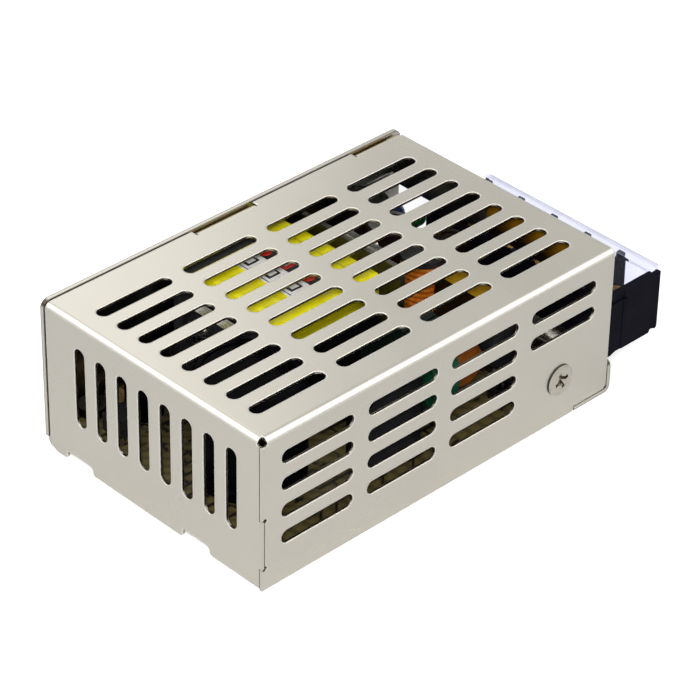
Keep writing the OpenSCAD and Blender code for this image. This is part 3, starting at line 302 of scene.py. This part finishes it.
# Dark brown painted shade for the boxed capacitor's near side
painted_shade_box_side = speckled("painted_shade_box_side", (0.020, 0.010, 0.004), (0.034, 0.017, 0.006), size_mm=3.0,
                    rough=(0.45, 0.6), grain_mm=0.3, grain=0.1, Specular_IOR_Level=0.1)
blue_coat = speckled("blue_coating", (0.008, 0.030, 0.12), (0.012, 0.045, 0.17), size_mm=2.0,
                     rough=(0.2, 0.35), grain_mm=0.6, grain=0.12)
blue_plastic = speckled("blue_plastic", (0.015, 0.07, 0.28), (0.025, 0.10, 0.36), size_mm=2.0,
                        rough=(0.4, 0.55))
white_plastic = speckled("white_plastic", (0.66, 0.65, 0.60), (0.76, 0.75, 0.70), size_mm=1.5,
                         rough=(0.4, 0.55))
lens = speckled("green_lens", (0.006, 0.06, 0.016), (0.010, 0.09, 0.024), size_mm=0.8, rough=(0.15, 0.3),
                grain_mm=0.3, grain=0.05)
fuse_glass = speckled("fuse_glass", (0.86, 0.90, 0.89), (0.93, 0.96, 0.95), size_mm=2.0,
                      rough=(0.02, 0.06), grain_mm=0.8, grain=0.03, Transmission_Weight=0.95, IOR=1.5)
clear = speckled("clear_lid", (0.70, 0.71, 0.85), (0.74, 0.75, 0.88), size_mm=6.0, rough=(0.0, 0.01),
                 grain_mm=0.9, grain=0.002, Transmission_Weight=1.0, IOR=1.12)
paper = speckled("label_paper", (0.88, 0.88, 0.90), (0.96, 0.96, 0.98), size_mm=3.0, rough=(0.45, 0.6),
                 grain_mm=0.4, grain=0.05)
label_ink = speckled("label_ink", (0.008, 0.008, 0.009), (0.014, 0.014, 0.015), size_mm=1.0,
                     rough=(0.4, 0.55), grain_mm=0.4, grain=0.05)
label_red = speckled("label_red", (0.80, 0.030, 0.012), (0.92, 0.045, 0.020), size_mm=1.0,
                     rough=(0.4, 0.55), grain_mm=0.4, grain=0.05)


def tape_material():
    """Yellow polyester tape: glossy, with the darker lines where one turn ends over another."""
    made, tree, shader = material("yellow_tape", rough=0.25, Coat_Weight=0.2)
    tone = noise(tree, size_mm=6, vector=coords(tree, (1, 1, 3)))
    base = two_tone(tree, tone, (0.90, 0.80, 0.005), (0.98, 0.90, 0.008))
    lines = node(tree, "TexWave", Scale=55.0, Distortion=1.5, Detail=2.0, wave_type="BANDS",
                 bands_direction="Z")
    link(tree, coords(tree), lines.inputs["Vector"])
    edge = spread(tree, lines.outputs["Fac"], low=0, high=0.5, start=0.90, end=0.98)
    link(tree, mix(tree, edge, base, (0.50, 0.42, 0.004)), shader.inputs["Base Color"])
    wrinkle = noise(tree, size_mm=2.2, vector=coords(tree, (1, 1, 2)), detail=2.0)
    link(tree, spread(tree, wrinkle, 0.18, 0.34), shader.inputs["Roughness"])
    bump(tree, shader, wrinkle, strength=0.3, distance_mm=0.1)
    return made


def board_print(tree):
    """Where the board's generic print lies: broken lines and rings."""
    tracks = node(tree, "TexBrick", offset=0.37, squash=0.8)
    tracks.inputs["Scale"].default_value = 120.0
    tracks.inputs["Mortar Size"].default_value = 0.035
    link(tree, coords(tree), tracks.inputs["Vector"])
    keep_line = spread(tree, noise(tree, size_mm=5.5, detail=1.0), low=0, high=1, start=0.50, end=0.53)
    lines = math_node(tree, "MULTIPLY", tracks.outputs["Fac"], keep_line)
    dots = node(tree, "TexVoronoi", Scale=260.0, Randomness=0.6)
    link(tree, coords(tree), dots.inputs["Vector"])
    ring_radius, ring_width = 0.26, 0.045
    ring = math_node(tree, "COMPARE", dots.outputs["Distance"], ring_radius, ring_width)
    keep_ring = spread(tree, noise(tree, size_mm=7.5, detail=1.0), low=0, high=1, start=0.54, end=0.57)
    return math_node(tree, "MAXIMUM", lines, math_node(tree, "MULTIPLY", ring, keep_ring))


def board_material():
    """Tan laminate, painted darker as shade, with a faint hatch and dark print."""
    made, tree, shader = material("board", rough=0.45)
    weave = noise(tree, size_mm=0.5, vector=coords(tree, (1, 0.35, 1)), detail=2.0)
    clouds = noise(tree, size_mm=9)
    base = two_tone(tree, mix(tree, 0.5, weave, clouds), (0.11, 0.085, 0.030), (0.16, 0.125, 0.046))
    hatch = node(tree, "TexWave", Scale=230.0, Distortion=0.6, Detail=1.0, wave_type="BANDS",
                 bands_direction="DIAGONAL")
    link(tree, coords(tree), hatch.inputs["Vector"])
    shade = spread(tree, hatch.outputs["Fac"], low=0, high=0.45, start=0.55, end=0.85)
    hatched = mix(tree, shade, base, (0.022, 0.018, 0.008))
    link(tree, mix(tree, board_print(tree), hatched, (0.006, 0.006, 0.005)), shader.inputs["Base Color"])
    link(tree, spread(tree, weave, 0.36, 0.52), shader.inputs["Roughness"])
    bump(tree, shader, weave, strength=0.12)
    return made


BAND_PITCH = 1.6  # of the resistors' colour bands, in mm


def resistor_material():
    """Tan coating with colour bands along X."""
    made, tree, shader = material("resistor_coating", rough=0.4)
    place = axes(tree, coords(tree))
    bands = math_node(tree, "FRACT", math_node(tree, "MULTIPLY", place["X"], 1 / (BAND_PITCH * MM)))
    tan, red, black = (0.45, 0.30, 0.13), (0.22, 0.04, 0.02), (0.02, 0.02, 0.02)
    colour = ramp(tree, bands, [(0.0, tan), (0.55, red), (0.8, tan), (0.93, black)], "CONSTANT")
    link(tree, colour, shader.inputs["Base Color"])
    link(tree, spread(tree, noise(tree, size_mm=0.6), 0.32, 0.48), shader.inputs["Roughness"])
    return made


SHADED_FOOT, LIT_TOP = 19.0, 26.0  # heights between which the amber film's painted shade gives way to its lit colour, in mm


def amber_material():
    """Amber insulating film, painted darker towards its foot as shade."""
    made, tree, shader = material("amber_film", Specular_IOR_Level=0.2)
    lit_share = spread(tree, axes(tree, coords(tree))["Z"], 0, 1, SHADED_FOOT * MM, LIT_TOP * MM)
    tone = mix(tree, 0.15, lit_share, noise(tree, size_mm=4))
    colour = ramp(tree, tone, [(0.25, (0.012, 0.006, 0.002)), (0.75, (0.38, 0.18, 0.004))])
    link(tree, colour, shader.inputs["Base Color"])
    link(tree, spread(tree, noise(tree, size_mm=1.2), 0.3, 0.45), shader.inputs["Roughness"])
    return made


tape = tape_material()
board = board_material()
resistor_coat = resistor_material()
amber_film = amber_material()


# What each CAD node wears

def dress(name, *materials, choose=None):
    """Gives a CAD node its materials; choose(centre in mm, normal) picks one by number for each face."""
    mesh = nodes[name].data
    mesh.materials.clear()
    for made in materials:
        mesh.materials.append(made)
    for face in mesh.polygons:
        face.material_index = choose(face.center / MM, face.normal) if choose else 0


# Parts of a face's normal along an axis: it looks that way, leans to it, or stands edge on
LOOKS, LEANS, EDGE_ON = 0.9, 0.3, 0.05
SKIN = 0.1  # what the middle of a cut wall's face stays clear of the sheet's two sides, in mm
CORNER, GAP_DEPTH = 2.0, 0.3  # reach of the corner seam, and how deep the walls of its gap lie, in mm
SLOTS_FAR, SLOTS_LEFT, SLOTS_LOW, SLOTS_HIGH = 36.0, 23.0, 3.0, 26.0  # the slotted areas, in mm
TONGUE_LEAN = 0.1  # least part of a tongue's bend that looks to the left


def cover_face(c, n):
    """0 the sheet, 1 the cut walls of its slots and its seam, painted dark as shade, 2 the bends of its
    tongues.
    """
    def cut(depth, normal):
        return SKIN < depth < COVER_T - SKIN and abs(normal) < EDGE_ON

    past_near, past_right = c.x > NEAR + CORNER, c.y > RIGHT + CORNER
    if c.x < NEAR + CORNER and c.y < RIGHT + CORNER:
        near_wall = n.y < -LOOKS and c.y > RIGHT + GAP_DEPTH
        side_wall = n.x < -LOOKS and c.x > NEAR + GAP_DEPTH
        return 1 if near_wall or side_wall else 0
    if past_near and past_right and cut(COVER_TOP - c.z, n.z):
        return 1
    if SLOTS_LOW < c.z < SLOTS_HIGH:
        if past_near and c.x < SLOTS_FAR and cut(c.y - RIGHT, n.y):
            return 1
        if past_right and c.y < SLOTS_LEFT and cut(c.x - NEAR, n.x):
            return 1
    return 2 if c.y > SLOTS_LEFT and n.y > TONGUE_LEAN else 0


HEAD_RIM = 0.8  # share of the cover screw's head inside its wall
screw_mid = middle("cover_screw")
screw_radius = box("cover_screw")[1][0] - screw_mid.x


def screw_face(c, n):
    """0 the screw's bright face and recess, 1 the wall round its head, painted dark as shade."""
    off_axis = math.hypot(c.x - screw_mid.x, c.z - screw_mid.z)
    return 1 if off_axis > HEAD_RIM * screw_radius and n.y > -LEANS else 0


FUSE_GLASS = 9.8  # length of the fuse's bare glass, in mm
fuse_mid = middle("fuse").y


def fuse_face(c, n):
    """0 the fuse's glass, 1 its bright cap by the cover's side, 2 its cap inside, painted dark as shade."""
    off_mid = c.y - fuse_mid
    if abs(off_mid) < FUSE_GLASS / 2:
        return 0
    return 1 if off_mid < 0 else 2


def leads_below(height):
    """Chooser for a part whose bare leads reach up to a height over the board, in mm."""
    return lambda c, n: 1 if c.z < BOARD_TOP + height else 0


TAB_FOOT, POWER_LEADS = 18.05, 2.5  # of the two power devices on their plates, in mm


def power_face(c, n):
    """0 the moulding, 1 the bare leads and tab of a power device."""
    return 1 if c.z > TAB_FOOT or c.z < BOARD_TOP + POWER_LEADS else 0


def switch_face(c, n):
    """As power_face, with the tab's near side painted dark as shade."""
    return 0 if c.z > TAB_FOOT and n.x < -LOOKS else power_face(c, n)


CONTACTS_SHADED_TO = FAR + 1  # the contacts are painted dark as shade up to here, inside the case, in mm
SUPPLY_TOP_R = 2.4  # radius of the supply capacitor's bare top, in mm
supply_mid = middle("supply_capacitor").xy
CAN_TOP = 20.0  # the output capacitors' tops lie above this, in mm
LED_FOOT, LED_REAR = 13.1, 31.85  # below and behind these are the lamp's leads, in mm
# How far the bare leads of other parts reach over the board, in mm
BRIDGE_LEADS, DIPPED_LEADS, CHIP_LEADS, RESISTOR_LEADS = 2.15, 2.0, 0.55, 1.2
LEAD_SIDE, LEAD_EDGE = 0.99, 0.01  # parts of the normal along Y and X on a resistor lead's flat sides

# Some inner faces are darker than the real ones, to match the dark behind the slots in the photograph
dress("cover", case_metal, painted_shade_cut_wall, tongue_metal, choose=cover_face)
dress("chassis", chassis_metal)
dress("cover_screw", case_screw, dark_screw_and_shade, choose=screw_face)
dress("insulation_film", film)
dress("circuit_board", board)
dress("board_posts", dark_screw_and_shade)
dress("board_screws", dark_screw_and_shade)
dress("terminal_block", black_block)
dress("terminal_contacts", brass, dark_screw_and_shade, choose=lambda c, n: 1 if c.x < CONTACTS_SHADED_TO else 0)
for name in nodes:
    if name.startswith(("terminal_screw", "wire_clamp")):
        dress(name, brass)
dress("terminal_lid", clear)
nodes["terminal_lid"].visible_shadow = False  # light passes through the clear lid
# The core's right side is painted dark as shade
dress("transformer_core", ferrite, painted_shade_black, choose=lambda c, n: 1 if n.y < -LOOKS else 0)
dress("transformer_bobbin", phenolic)
dress("transformer_winding", tape)
dress("bulk_capacitor", black_sleeve)
dress("supply_capacitor", black_sleeve, silver_top,
      choose=lambda c, n: 1 if n.z > LOOKS and (c.xy - supply_mid).length < SUPPLY_TOP_R else 0)
dress("output_capacitors", brown_sleeve, silver_top,
      choose=lambda c, n: 1 if n.z > LOOKS and c.z > CAN_TOP else 0)
# The bridge rectifier is painted near black as shade
dress("bridge_rectifier", painted_shade_black, tinned, choose=leads_below(BRIDGE_LEADS))
dress("choke_core", green_coat)
# The choke's windings are painted dark as shade
dress("choke_windings", painted_shade_wire)
dress("inductor_core", ferrite)
dress("inductor_winding", copper)
for name, coat in (("varistor", orange_coat), ("thermistor", epoxy), ("safety_capacitor", blue_coat)):
    dress(name, coat, tinned, choose=leads_below(DIPPED_LEADS))
# The boxed capacitor's near side is painted dark as shade
dress("line_capacitor", yellow_box, painted_shade_box_side, choose=lambda c, n: 1 if n.x < -LEANS else 0)
dress("fuse", fuse_glass, tinned, dark_screw_and_shade, choose=fuse_face)
# The inner clip is painted dark as shade
dress("fuse_clips", tinned, dark_screw_and_shade, choose=lambda c, n: 1 if c.y > fuse_mid else 0)
dress("trimmer_body", blue_plastic)
dress("trimmer_rotor", white_plastic)
dress("indicator_led", lens, tinned, choose=lambda c, n: 1 if c.z < LED_FOOT or c.x < LED_REAR else 0)
dress("switch_transistor", epoxy, tinned, choose=switch_face)
dress("output_rectifier", epoxy, tinned, choose=power_face)
dress("switch_heatsink", aluminium)
dress("output_heatsink", aluminium)
dress("heatsink_screws", bright_screw)
for name in ("controller_chip", "optocoupler"):
    dress(name, epoxy, tinned, choose=leads_below(CHIP_LEADS))
dress("resistors", resistor_coat, tinned,
      choose=lambda c, n: 1 if c.z < BOARD_TOP + RESISTOR_LEADS and abs(n.x) < LEAD_EDGE
      and abs(n.y) > LEAD_SIDE else 0)


# Added pieces, which ride on the case: their sizes are in mm from its near end, right side and floor

def add_piece(name, verts, faces, materials, slot, thick, indices=None):
    """A sheet from points in the part's frame, made into a shell of some thickness."""
    mesh = bpy.data.meshes.new(name)
    mesh.from_pydata(verts, [], faces)
    for paint in materials:
        mesh.materials.append(paint)
    if indices:
        mesh.polygons.foreach_set("material_index", indices)
    shape = bmesh.new()
    shape.from_mesh(mesh)
    bmesh.ops.recalc_face_normals(shape, faces=shape.faces[:])
    bmesh.ops.solidify(shape, geom=shape.faces[:], thickness=thick * MM)
    shape.to_mesh(mesh)
    shape.free()
    made = bpy.data.objects.new(name, mesh)
    scene.collection.objects.link(made)
    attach(made, "case")


def grid(rows, cols, point):
    """Points and quads of a sheet: point(u, v) for u and v from 0 to 1."""
    verts = [point(r / rows, c / cols) for r in range(rows + 1) for c in range(cols + 1)]
    across = cols + 1
    starts = [r * across + c for r in range(rows) for c in range(cols)]
    faces = [(start, start + 1, start + across + 1, start + across) for start in starts]
    return verts, faces


def between(low, high, t):
    return low + (high - low) * t


def smooth_step(x):
    x = min(max(x, 0.0), 1.0)
    return x * x * (3 - 2 * x)


def along(points, t):
    """Point at t from 0 to 1 of the way along a path of straight stretches."""
    steps = [(Vector(b) - Vector(a)).length for a, b in zip(points, points[1:])]
    left = t * sum(steps)
    for a, b, step in zip(points, points[1:], steps):
        if left <= step or b is points[-1]:
            return Vector(a).lerp(Vector(b), min(left / step, 1.0))
        left -= step


# Transformer: the core's faces, the winding that stands proud of it, and the tape's ends
core_low, core_high = box("transformer_core")
winding_low, winding_high = box("transformer_winding")
CORE_NEAR, CORE_FAR = core_low[0] - NEAR, core_high[0] - NEAR
CORE_RIGHT, CORE_LEFT = core_low[1] - RIGHT, core_high[1] - RIGHT
CORE_TOP, CORE_LEG = core_high[2], winding_low[0] - core_low[0]
WINDING_TOP, WINDING_SLOPE = winding_high[2], 0.9
SIDE_TAPE_FOOT, END_TAPE_FOOT, END_TAPE_NEAR = 17.8, 9.8, 41.6
TAPE_T, TAPE_BEND, TAPE_LIFT = 0.06, 0.3, 0.1
SIDE_GAP, TOP_GAP, END_GAP = 0.12, 0.14, 0.16  # between the core and the tape
TAPE_PAST_NEAR, TAPE_PAST_FAR, TAPE_SHORT_LEFT = 0.1, 0.05, 2.2
END_TAPE_RIGHT, END_TAPE_LEFT = CORE_RIGHT + 0.5, CORE_LEFT - 0.2
RIPPLE, RIPPLE_X, RIPPLE_XY, RIPPLE_Y = 0.05, 1.7, 0.6, 0.9  # the tape's waves: height, and turns in rad/mm


def tape_z(x, y):
    """Height of the tape over the core, raised where the winding lies under it."""
    inside = min(x - CORE_NEAR - CORE_LEG, CORE_FAR - CORE_LEG - x, y - CORE_RIGHT - CORE_LEG,
                 CORE_LEFT - CORE_LEG - y)
    ripple = RIPPLE * math.sin(RIPPLE_X * x + RIPPLE_XY * y) * math.sin(RIPPLE_Y * y)
    raised = (WINDING_TOP - CORE_TOP) * smooth_step(inside / WINDING_SLOPE + 1)
    return CORE_TOP + TOP_GAP + raised + max(ripple, 0)


def add_side_tape():
    """Tape over the core's right side and top."""
    side = CORE_RIGHT - SIDE_GAP
    path = [(side, SIDE_TAPE_FOOT), (side, CORE_TOP - TAPE_BEND), (side + TAPE_LIFT, CORE_TOP),
            (CORE_RIGHT + TAPE_BEND, CORE_TOP + TAPE_LIFT),
            (CORE_LEFT - TAPE_SHORT_LEFT, CORE_TOP + TAPE_LIFT)]

    def point(u, v):
        x = between(CORE_NEAR - TAPE_PAST_NEAR, CORE_FAR + TAPE_PAST_FAR, v)
        y, z = along(path, u)
        return at(x, y, max(z, tape_z(x, y)) if y > CORE_RIGHT + TAPE_BEND else z)

    add_piece("transformer_tape", *grid(rows=110, cols=60, point=point), [tape], "yellow_tape", TAPE_T)


def add_end_tape():
    """A second length of tape, over the top and the core's far end."""
    end = CORE_FAR + END_GAP
    over = CORE_TOP + 2 * TAPE_LIFT
    path = [(END_TAPE_NEAR, over), (CORE_FAR - TAPE_BEND, over), (end - END_GAP / 2, CORE_TOP),
            (end, CORE_TOP - TAPE_BEND), (end, END_TAPE_FOOT)]

    def point(u, v):
        y = between(END_TAPE_RIGHT, END_TAPE_LEFT, v)
        x, z = along(path, u)
        return at(x, y, max(z, tape_z(x, y) + TAPE_LIFT) if x < CORE_FAR - TAPE_BEND else z)

    add_piece("transformer_end_tape", *grid(rows=60, cols=60, point=point), [tape], "yellow_tape", TAPE_T)


# Label on the tape: paper from its near end to LABEL_EDGE, then a dark band
LABEL_NEAR, LABEL_EDGE, LABEL_FAR, LABEL_RIGHT, LABEL_LEFT = 32.8, 37.4, 41.4, 29.2, 43.8
LABEL_T, LABEL_LIFT = 0.05, 0.14
LABEL_ROWS = (31.2, 36.3, 41.3)
RING_MID, RING_HALF, RING_LINE = 35.3, 1.3, 0.5
RULE_MID, RULE_HALF = 33.3, 0.15
MARK_MID, MARK_HALF = 38.8, 1.15
BAR_HALF_L, BAR_HALF_W = 0.6, 0.3


def label_colour(x, y):
    """Generic marks: 0 paper, 1 ink, 2 red. Square rings on the paper, discs and a block on the band."""
    row = min(LABEL_ROWS, key=lambda middle: abs(y - middle))
    off_row = abs(y - row)
    if x < LABEL_EDGE:
        off_ring = abs(x - RING_MID)
        in_ring = off_ring < RING_HALF and off_row < RING_HALF
        in_middle = off_ring < RING_HALF - RING_LINE and off_row < RING_HALF - RING_LINE
        on_rule = abs(x - RULE_MID) < RULE_HALF
        return 1 if on_rule or in_ring and not in_middle else 0
    off_mark = abs(x - MARK_MID)
    if row != LABEL_ROWS[1]:
        return 2 if math.hypot(off_mark, off_row) < MARK_HALF else 1
    if max(off_mark, off_row) > MARK_HALF:
        return 1
    return 0 if off_mark < BAR_HALF_L and off_row < BAR_HALF_W else 2


def add_label():
    """Printed label on top of the tape; each small square of it has one colour."""
    rows, cols = 90, 44

    def place(u, v):
        return between(LABEL_NEAR, LABEL_FAR, v), between(LABEL_RIGHT, LABEL_LEFT, u)

    def point(u, v):
        x, y = place(u, v)
        return at(x, y, tape_z(x, min(y, CORE_LEFT - TAPE_SHORT_LEFT)) + LABEL_LIFT)

    middles = [((r + 0.5) / rows, (c + 0.5) / cols) for r in range(rows) for c in range(cols)]
    marks = [label_colour(*place(u, v)) for u, v in middles]
    add_piece("transformer_label", *grid(rows, cols, point), [paper, label_ink, label_red], "white_plastic",
              LABEL_T, marks)


# The cover's far fold and the film behind it
FLANGE_GAP = 0.05  # between the fold and the cover's sheet
FLANGE_FAR, FLANGE_TOP = cover_high[0] - NEAR - FLANGE_GAP, COVER_TOP - COVER_T - FLANGE_GAP
FLANGE_FOOT, FLANGE_LEG = 18.45, 2.4
FLANGE_RIGHT, FLANGE_LEFT, FLANGE_CORNER = 1.0, 49.9, 1.6
FLANGE_BEND, BEND_STEPS = 1.0, 8
FILM_RIGHT, FILM_LEFT, FILM_FOOT, FILM_TOP = 6.5, 27.5, 19.0, 25.8
FILM_T, FILM_GAP = 0.1, 0.25
FILM_RIPPLE, FILM_WAVE = 0.06, 0.9  # the film's waves: depth, and turn in rad/mm


def add_flange():
    """Strip folded down under the cover's far edge, which closes the case above the terminal block."""
    turns = [math.pi / 2 * k / BEND_STEPS for k in range(BEND_STEPS + 1)]
    bend_x, bend_z = FLANGE_FAR - FLANGE_BEND, FLANGE_TOP - FLANGE_BEND
    bend = [(bend_x + FLANGE_BEND * math.sin(turn), bend_z + FLANGE_BEND * math.cos(turn)) for turn in turns]

    def point(u, v):
        y = between(FLANGE_RIGHT, FLANGE_LEFT, v)
        inset = max(FLANGE_CORNER - min(y - FLANGE_RIGHT, FLANGE_LEFT - y), 0)
        foot = FLANGE_FOOT + FLANGE_CORNER - math.sqrt(FLANGE_CORNER ** 2 - inset ** 2)
        x, z = along([(FLANGE_FAR - FLANGE_LEG, FLANGE_TOP), *bend, (FLANGE_FAR, foot)], u)
        return at(x, y, z)

    add_piece("cover_end_flange", *grid(rows=48, cols=98, point=point), [case_metal], "case_metal", COVER_T)


def add_flange_film():
    """Amber film that hangs behind the fold."""
    def point(u, v):
        y = between(FILM_RIGHT, FILM_LEFT, v)
        wave = max(FILM_RIPPLE * math.sin(FILM_WAVE * y) * math.sin(math.pi * u), 0)
        return at(FLANGE_FAR - COVER_T - FILM_GAP - wave, y, between(FILM_FOOT, FILM_TOP, u))

    add_piece("flange_film", *grid(rows=12, cols=60, point=point), [amber_film], "film", FILM_T)


add_side_tape()
add_end_tape()
add_label()
add_flange()
add_flange_film()


# Floor, light and camera

FLOOR_HALF, FLOOR_Z = 3.0, -0.0002  # in metres; just under the case's base
FLOOR_COLOUR = (0.80, 0.80, 0.81, 1)
FLOOR_GLOW = {"Camera": 0.62, "Transmission": 0.42, "Glossy": 0.16}  # what the floor adds, by kind of ray
WORLD_LIGHT, WORLD_MIRRORED = 0.22, 0.75  # the room's light, and how bright it is in reflections
WHITE, WARM = (1, 1, 1, 1), (1.0, 0.96, 0.86)


def floor_material():
    """White floor that stays white to the camera and keeps a soft shadow; reflections see less of it."""
    made = bpy.data.materials.new("floor")
    made.use_nodes = True
    tree = made.node_tree
    tree.nodes.clear()
    diffuse = node(tree, "BsdfDiffuse", Color=FLOOR_COLOUR)
    path = node(tree, "LightPath")
    strength = 0.0
    for ray, share in FLOOR_GLOW.items():
        part = math_node(tree, "MULTIPLY", path.outputs["Is %s Ray" % ray], share)
        strength = math_node(tree, "ADD", part, strength)
    glow = node(tree, "Emission", Color=WHITE)
    link(tree, strength, glow.inputs["Strength"])
    both = node(tree, "AddShader")
    link(tree, diffuse.outputs[0], both.inputs[0])
    link(tree, glow.outputs[0], both.inputs[1])
    out = node(tree, "OutputMaterial")
    link(tree, both.outputs[0], out.inputs["Surface"])
    return made


def make_floor():
    """Wide flat floor, which is stage and no part of the object."""
    mesh = bpy.data.meshes.new("floor")
    corners = [(x * FLOOR_HALF, y * FLOOR_HALF, 0) for x, y in ((-1, -1), (1, -1), (1, 1), (-1, 1))]
    mesh.from_pydata(corners, [], [(0, 1, 2, 3)])
    made = bpy.data.objects.new("floor", mesh)
    made.location.z = FLOOR_Z
    scene.collection.objects.link(made)
    mesh.materials.append(floor_material())


def make_world():
    """White room: dim as light, bright to the camera, through glass and in reflections."""
    world = bpy.data.worlds.new("studio")
    scene.world = world
    world.use_nodes = True
    tree = world.node_tree
    tree.nodes.clear()
    path = node(tree, "LightPath")
    seen = math_node(tree, "MAXIMUM", path.outputs["Is Camera Ray"], path.outputs["Is Transmission Ray"])
    direct = math_node(tree, "MULTIPLY", seen, 1 - WORLD_LIGHT)
    mirrored = math_node(tree, "MULTIPLY", path.outputs["Is Glossy Ray"], WORLD_MIRRORED - WORLD_LIGHT)
    extra = math_node(tree, "ADD", direct, mirrored)
    sky = node(tree, "Background", Color=WHITE)
    link(tree, math_node(tree, "ADD", extra, WORLD_LIGHT), sky.inputs["Strength"])
    out = node(tree, "OutputWorld")
    link(tree, sky.outputs[0], out.inputs["Surface"])


def softbox(name, azimuth, elevation, distance, size, radiance, mirrored_only=False, unmirrored=False):
    """Soft lamp that faces the object: azimuth from +X towards +Y in degrees, sizes in metres."""
    a, e = math.radians(azimuth), math.radians(elevation)
    place = distance * Vector((math.cos(a) * math.cos(e), math.sin(a) * math.cos(e), math.sin(e)))
    data = bpy.data.lights.new(name, "AREA")
    data.shape = "RECTANGLE"
    data.size, data.size_y = size
    data.energy = radiance * math.pi * size[0] * size[1]
    lamp = bpy.data.objects.new(name, data)
    lamp.location = place
    lamp.rotation_euler = (-place).to_track_quat("-Z", "Y").to_euler()
    if mirrored_only:
        lamp.visible_diffuse = False
        data.color = WARM
    if unmirrored:
        lamp.visible_glossy = False
    scene.collection.objects.link(lamp)


make_floor()
make_world()
softbox("overhead", azimuth=0, elevation=90, distance=0.70, size=(0.5, 0.5), radiance=1.0)
softbox("key", azimuth=-135, elevation=40, distance=0.80, size=(0.16, 0.16), radiance=60.0,
        unmirrored=True)
softbox("glint", azimuth=-135, elevation=37, distance=0.80, size=(0.4, 0.4), radiance=1.3,
        mirrored_only=True)
softbox("left", azimuth=135, elevation=48, distance=0.90, size=(0.5, 0.7), radiance=1.5,
        mirrored_only=True)
softbox("right", azimuth=-45, elevation=48, distance=0.90, size=(0.5, 0.7), radiance=1.5,
        mirrored_only=True)
softbox("back", azimuth=62, elevation=35, distance=0.90, size=(0.35, 0.5), radiance=0.8)

# The camera was fitted to the photograph: azimuth, elevation and roll in radians, place in metres
AZIMUTH, ELEVATION, ROLL = math.radians(-44.60), math.radians(34.66), math.radians(1.12)
CAMERA_PLACE = (-0.3014, -0.3096, 0.3121)
LENS_MM, CLIP_START = 168.16, 0.01


def add_camera():
    """Camera turned by its azimuth, elevation and roll."""
    back = Vector((math.sin(AZIMUTH) * math.cos(ELEVATION), -math.cos(AZIMUTH) * math.cos(ELEVATION),
                   math.sin(ELEVATION)))
    level = Vector((math.cos(AZIMUTH), math.sin(AZIMUTH), 0))
    upright = back.cross(level)
    right = math.cos(ROLL) * level + math.sin(ROLL) * upright
    up = -math.sin(ROLL) * level + math.cos(ROLL) * upright
    data = bpy.data.cameras.new("camera")
    data.lens = LENS_MM
    data.clip_start = CLIP_START
    camera = bpy.data.objects.new("camera", data)
    turn = Matrix((right, up, back)).transposed().to_4x4()
    camera.matrix_world = Matrix.Translation(CAMERA_PLACE) @ turn
    scene.collection.objects.link(camera)
    scene.camera = camera


add_camera()
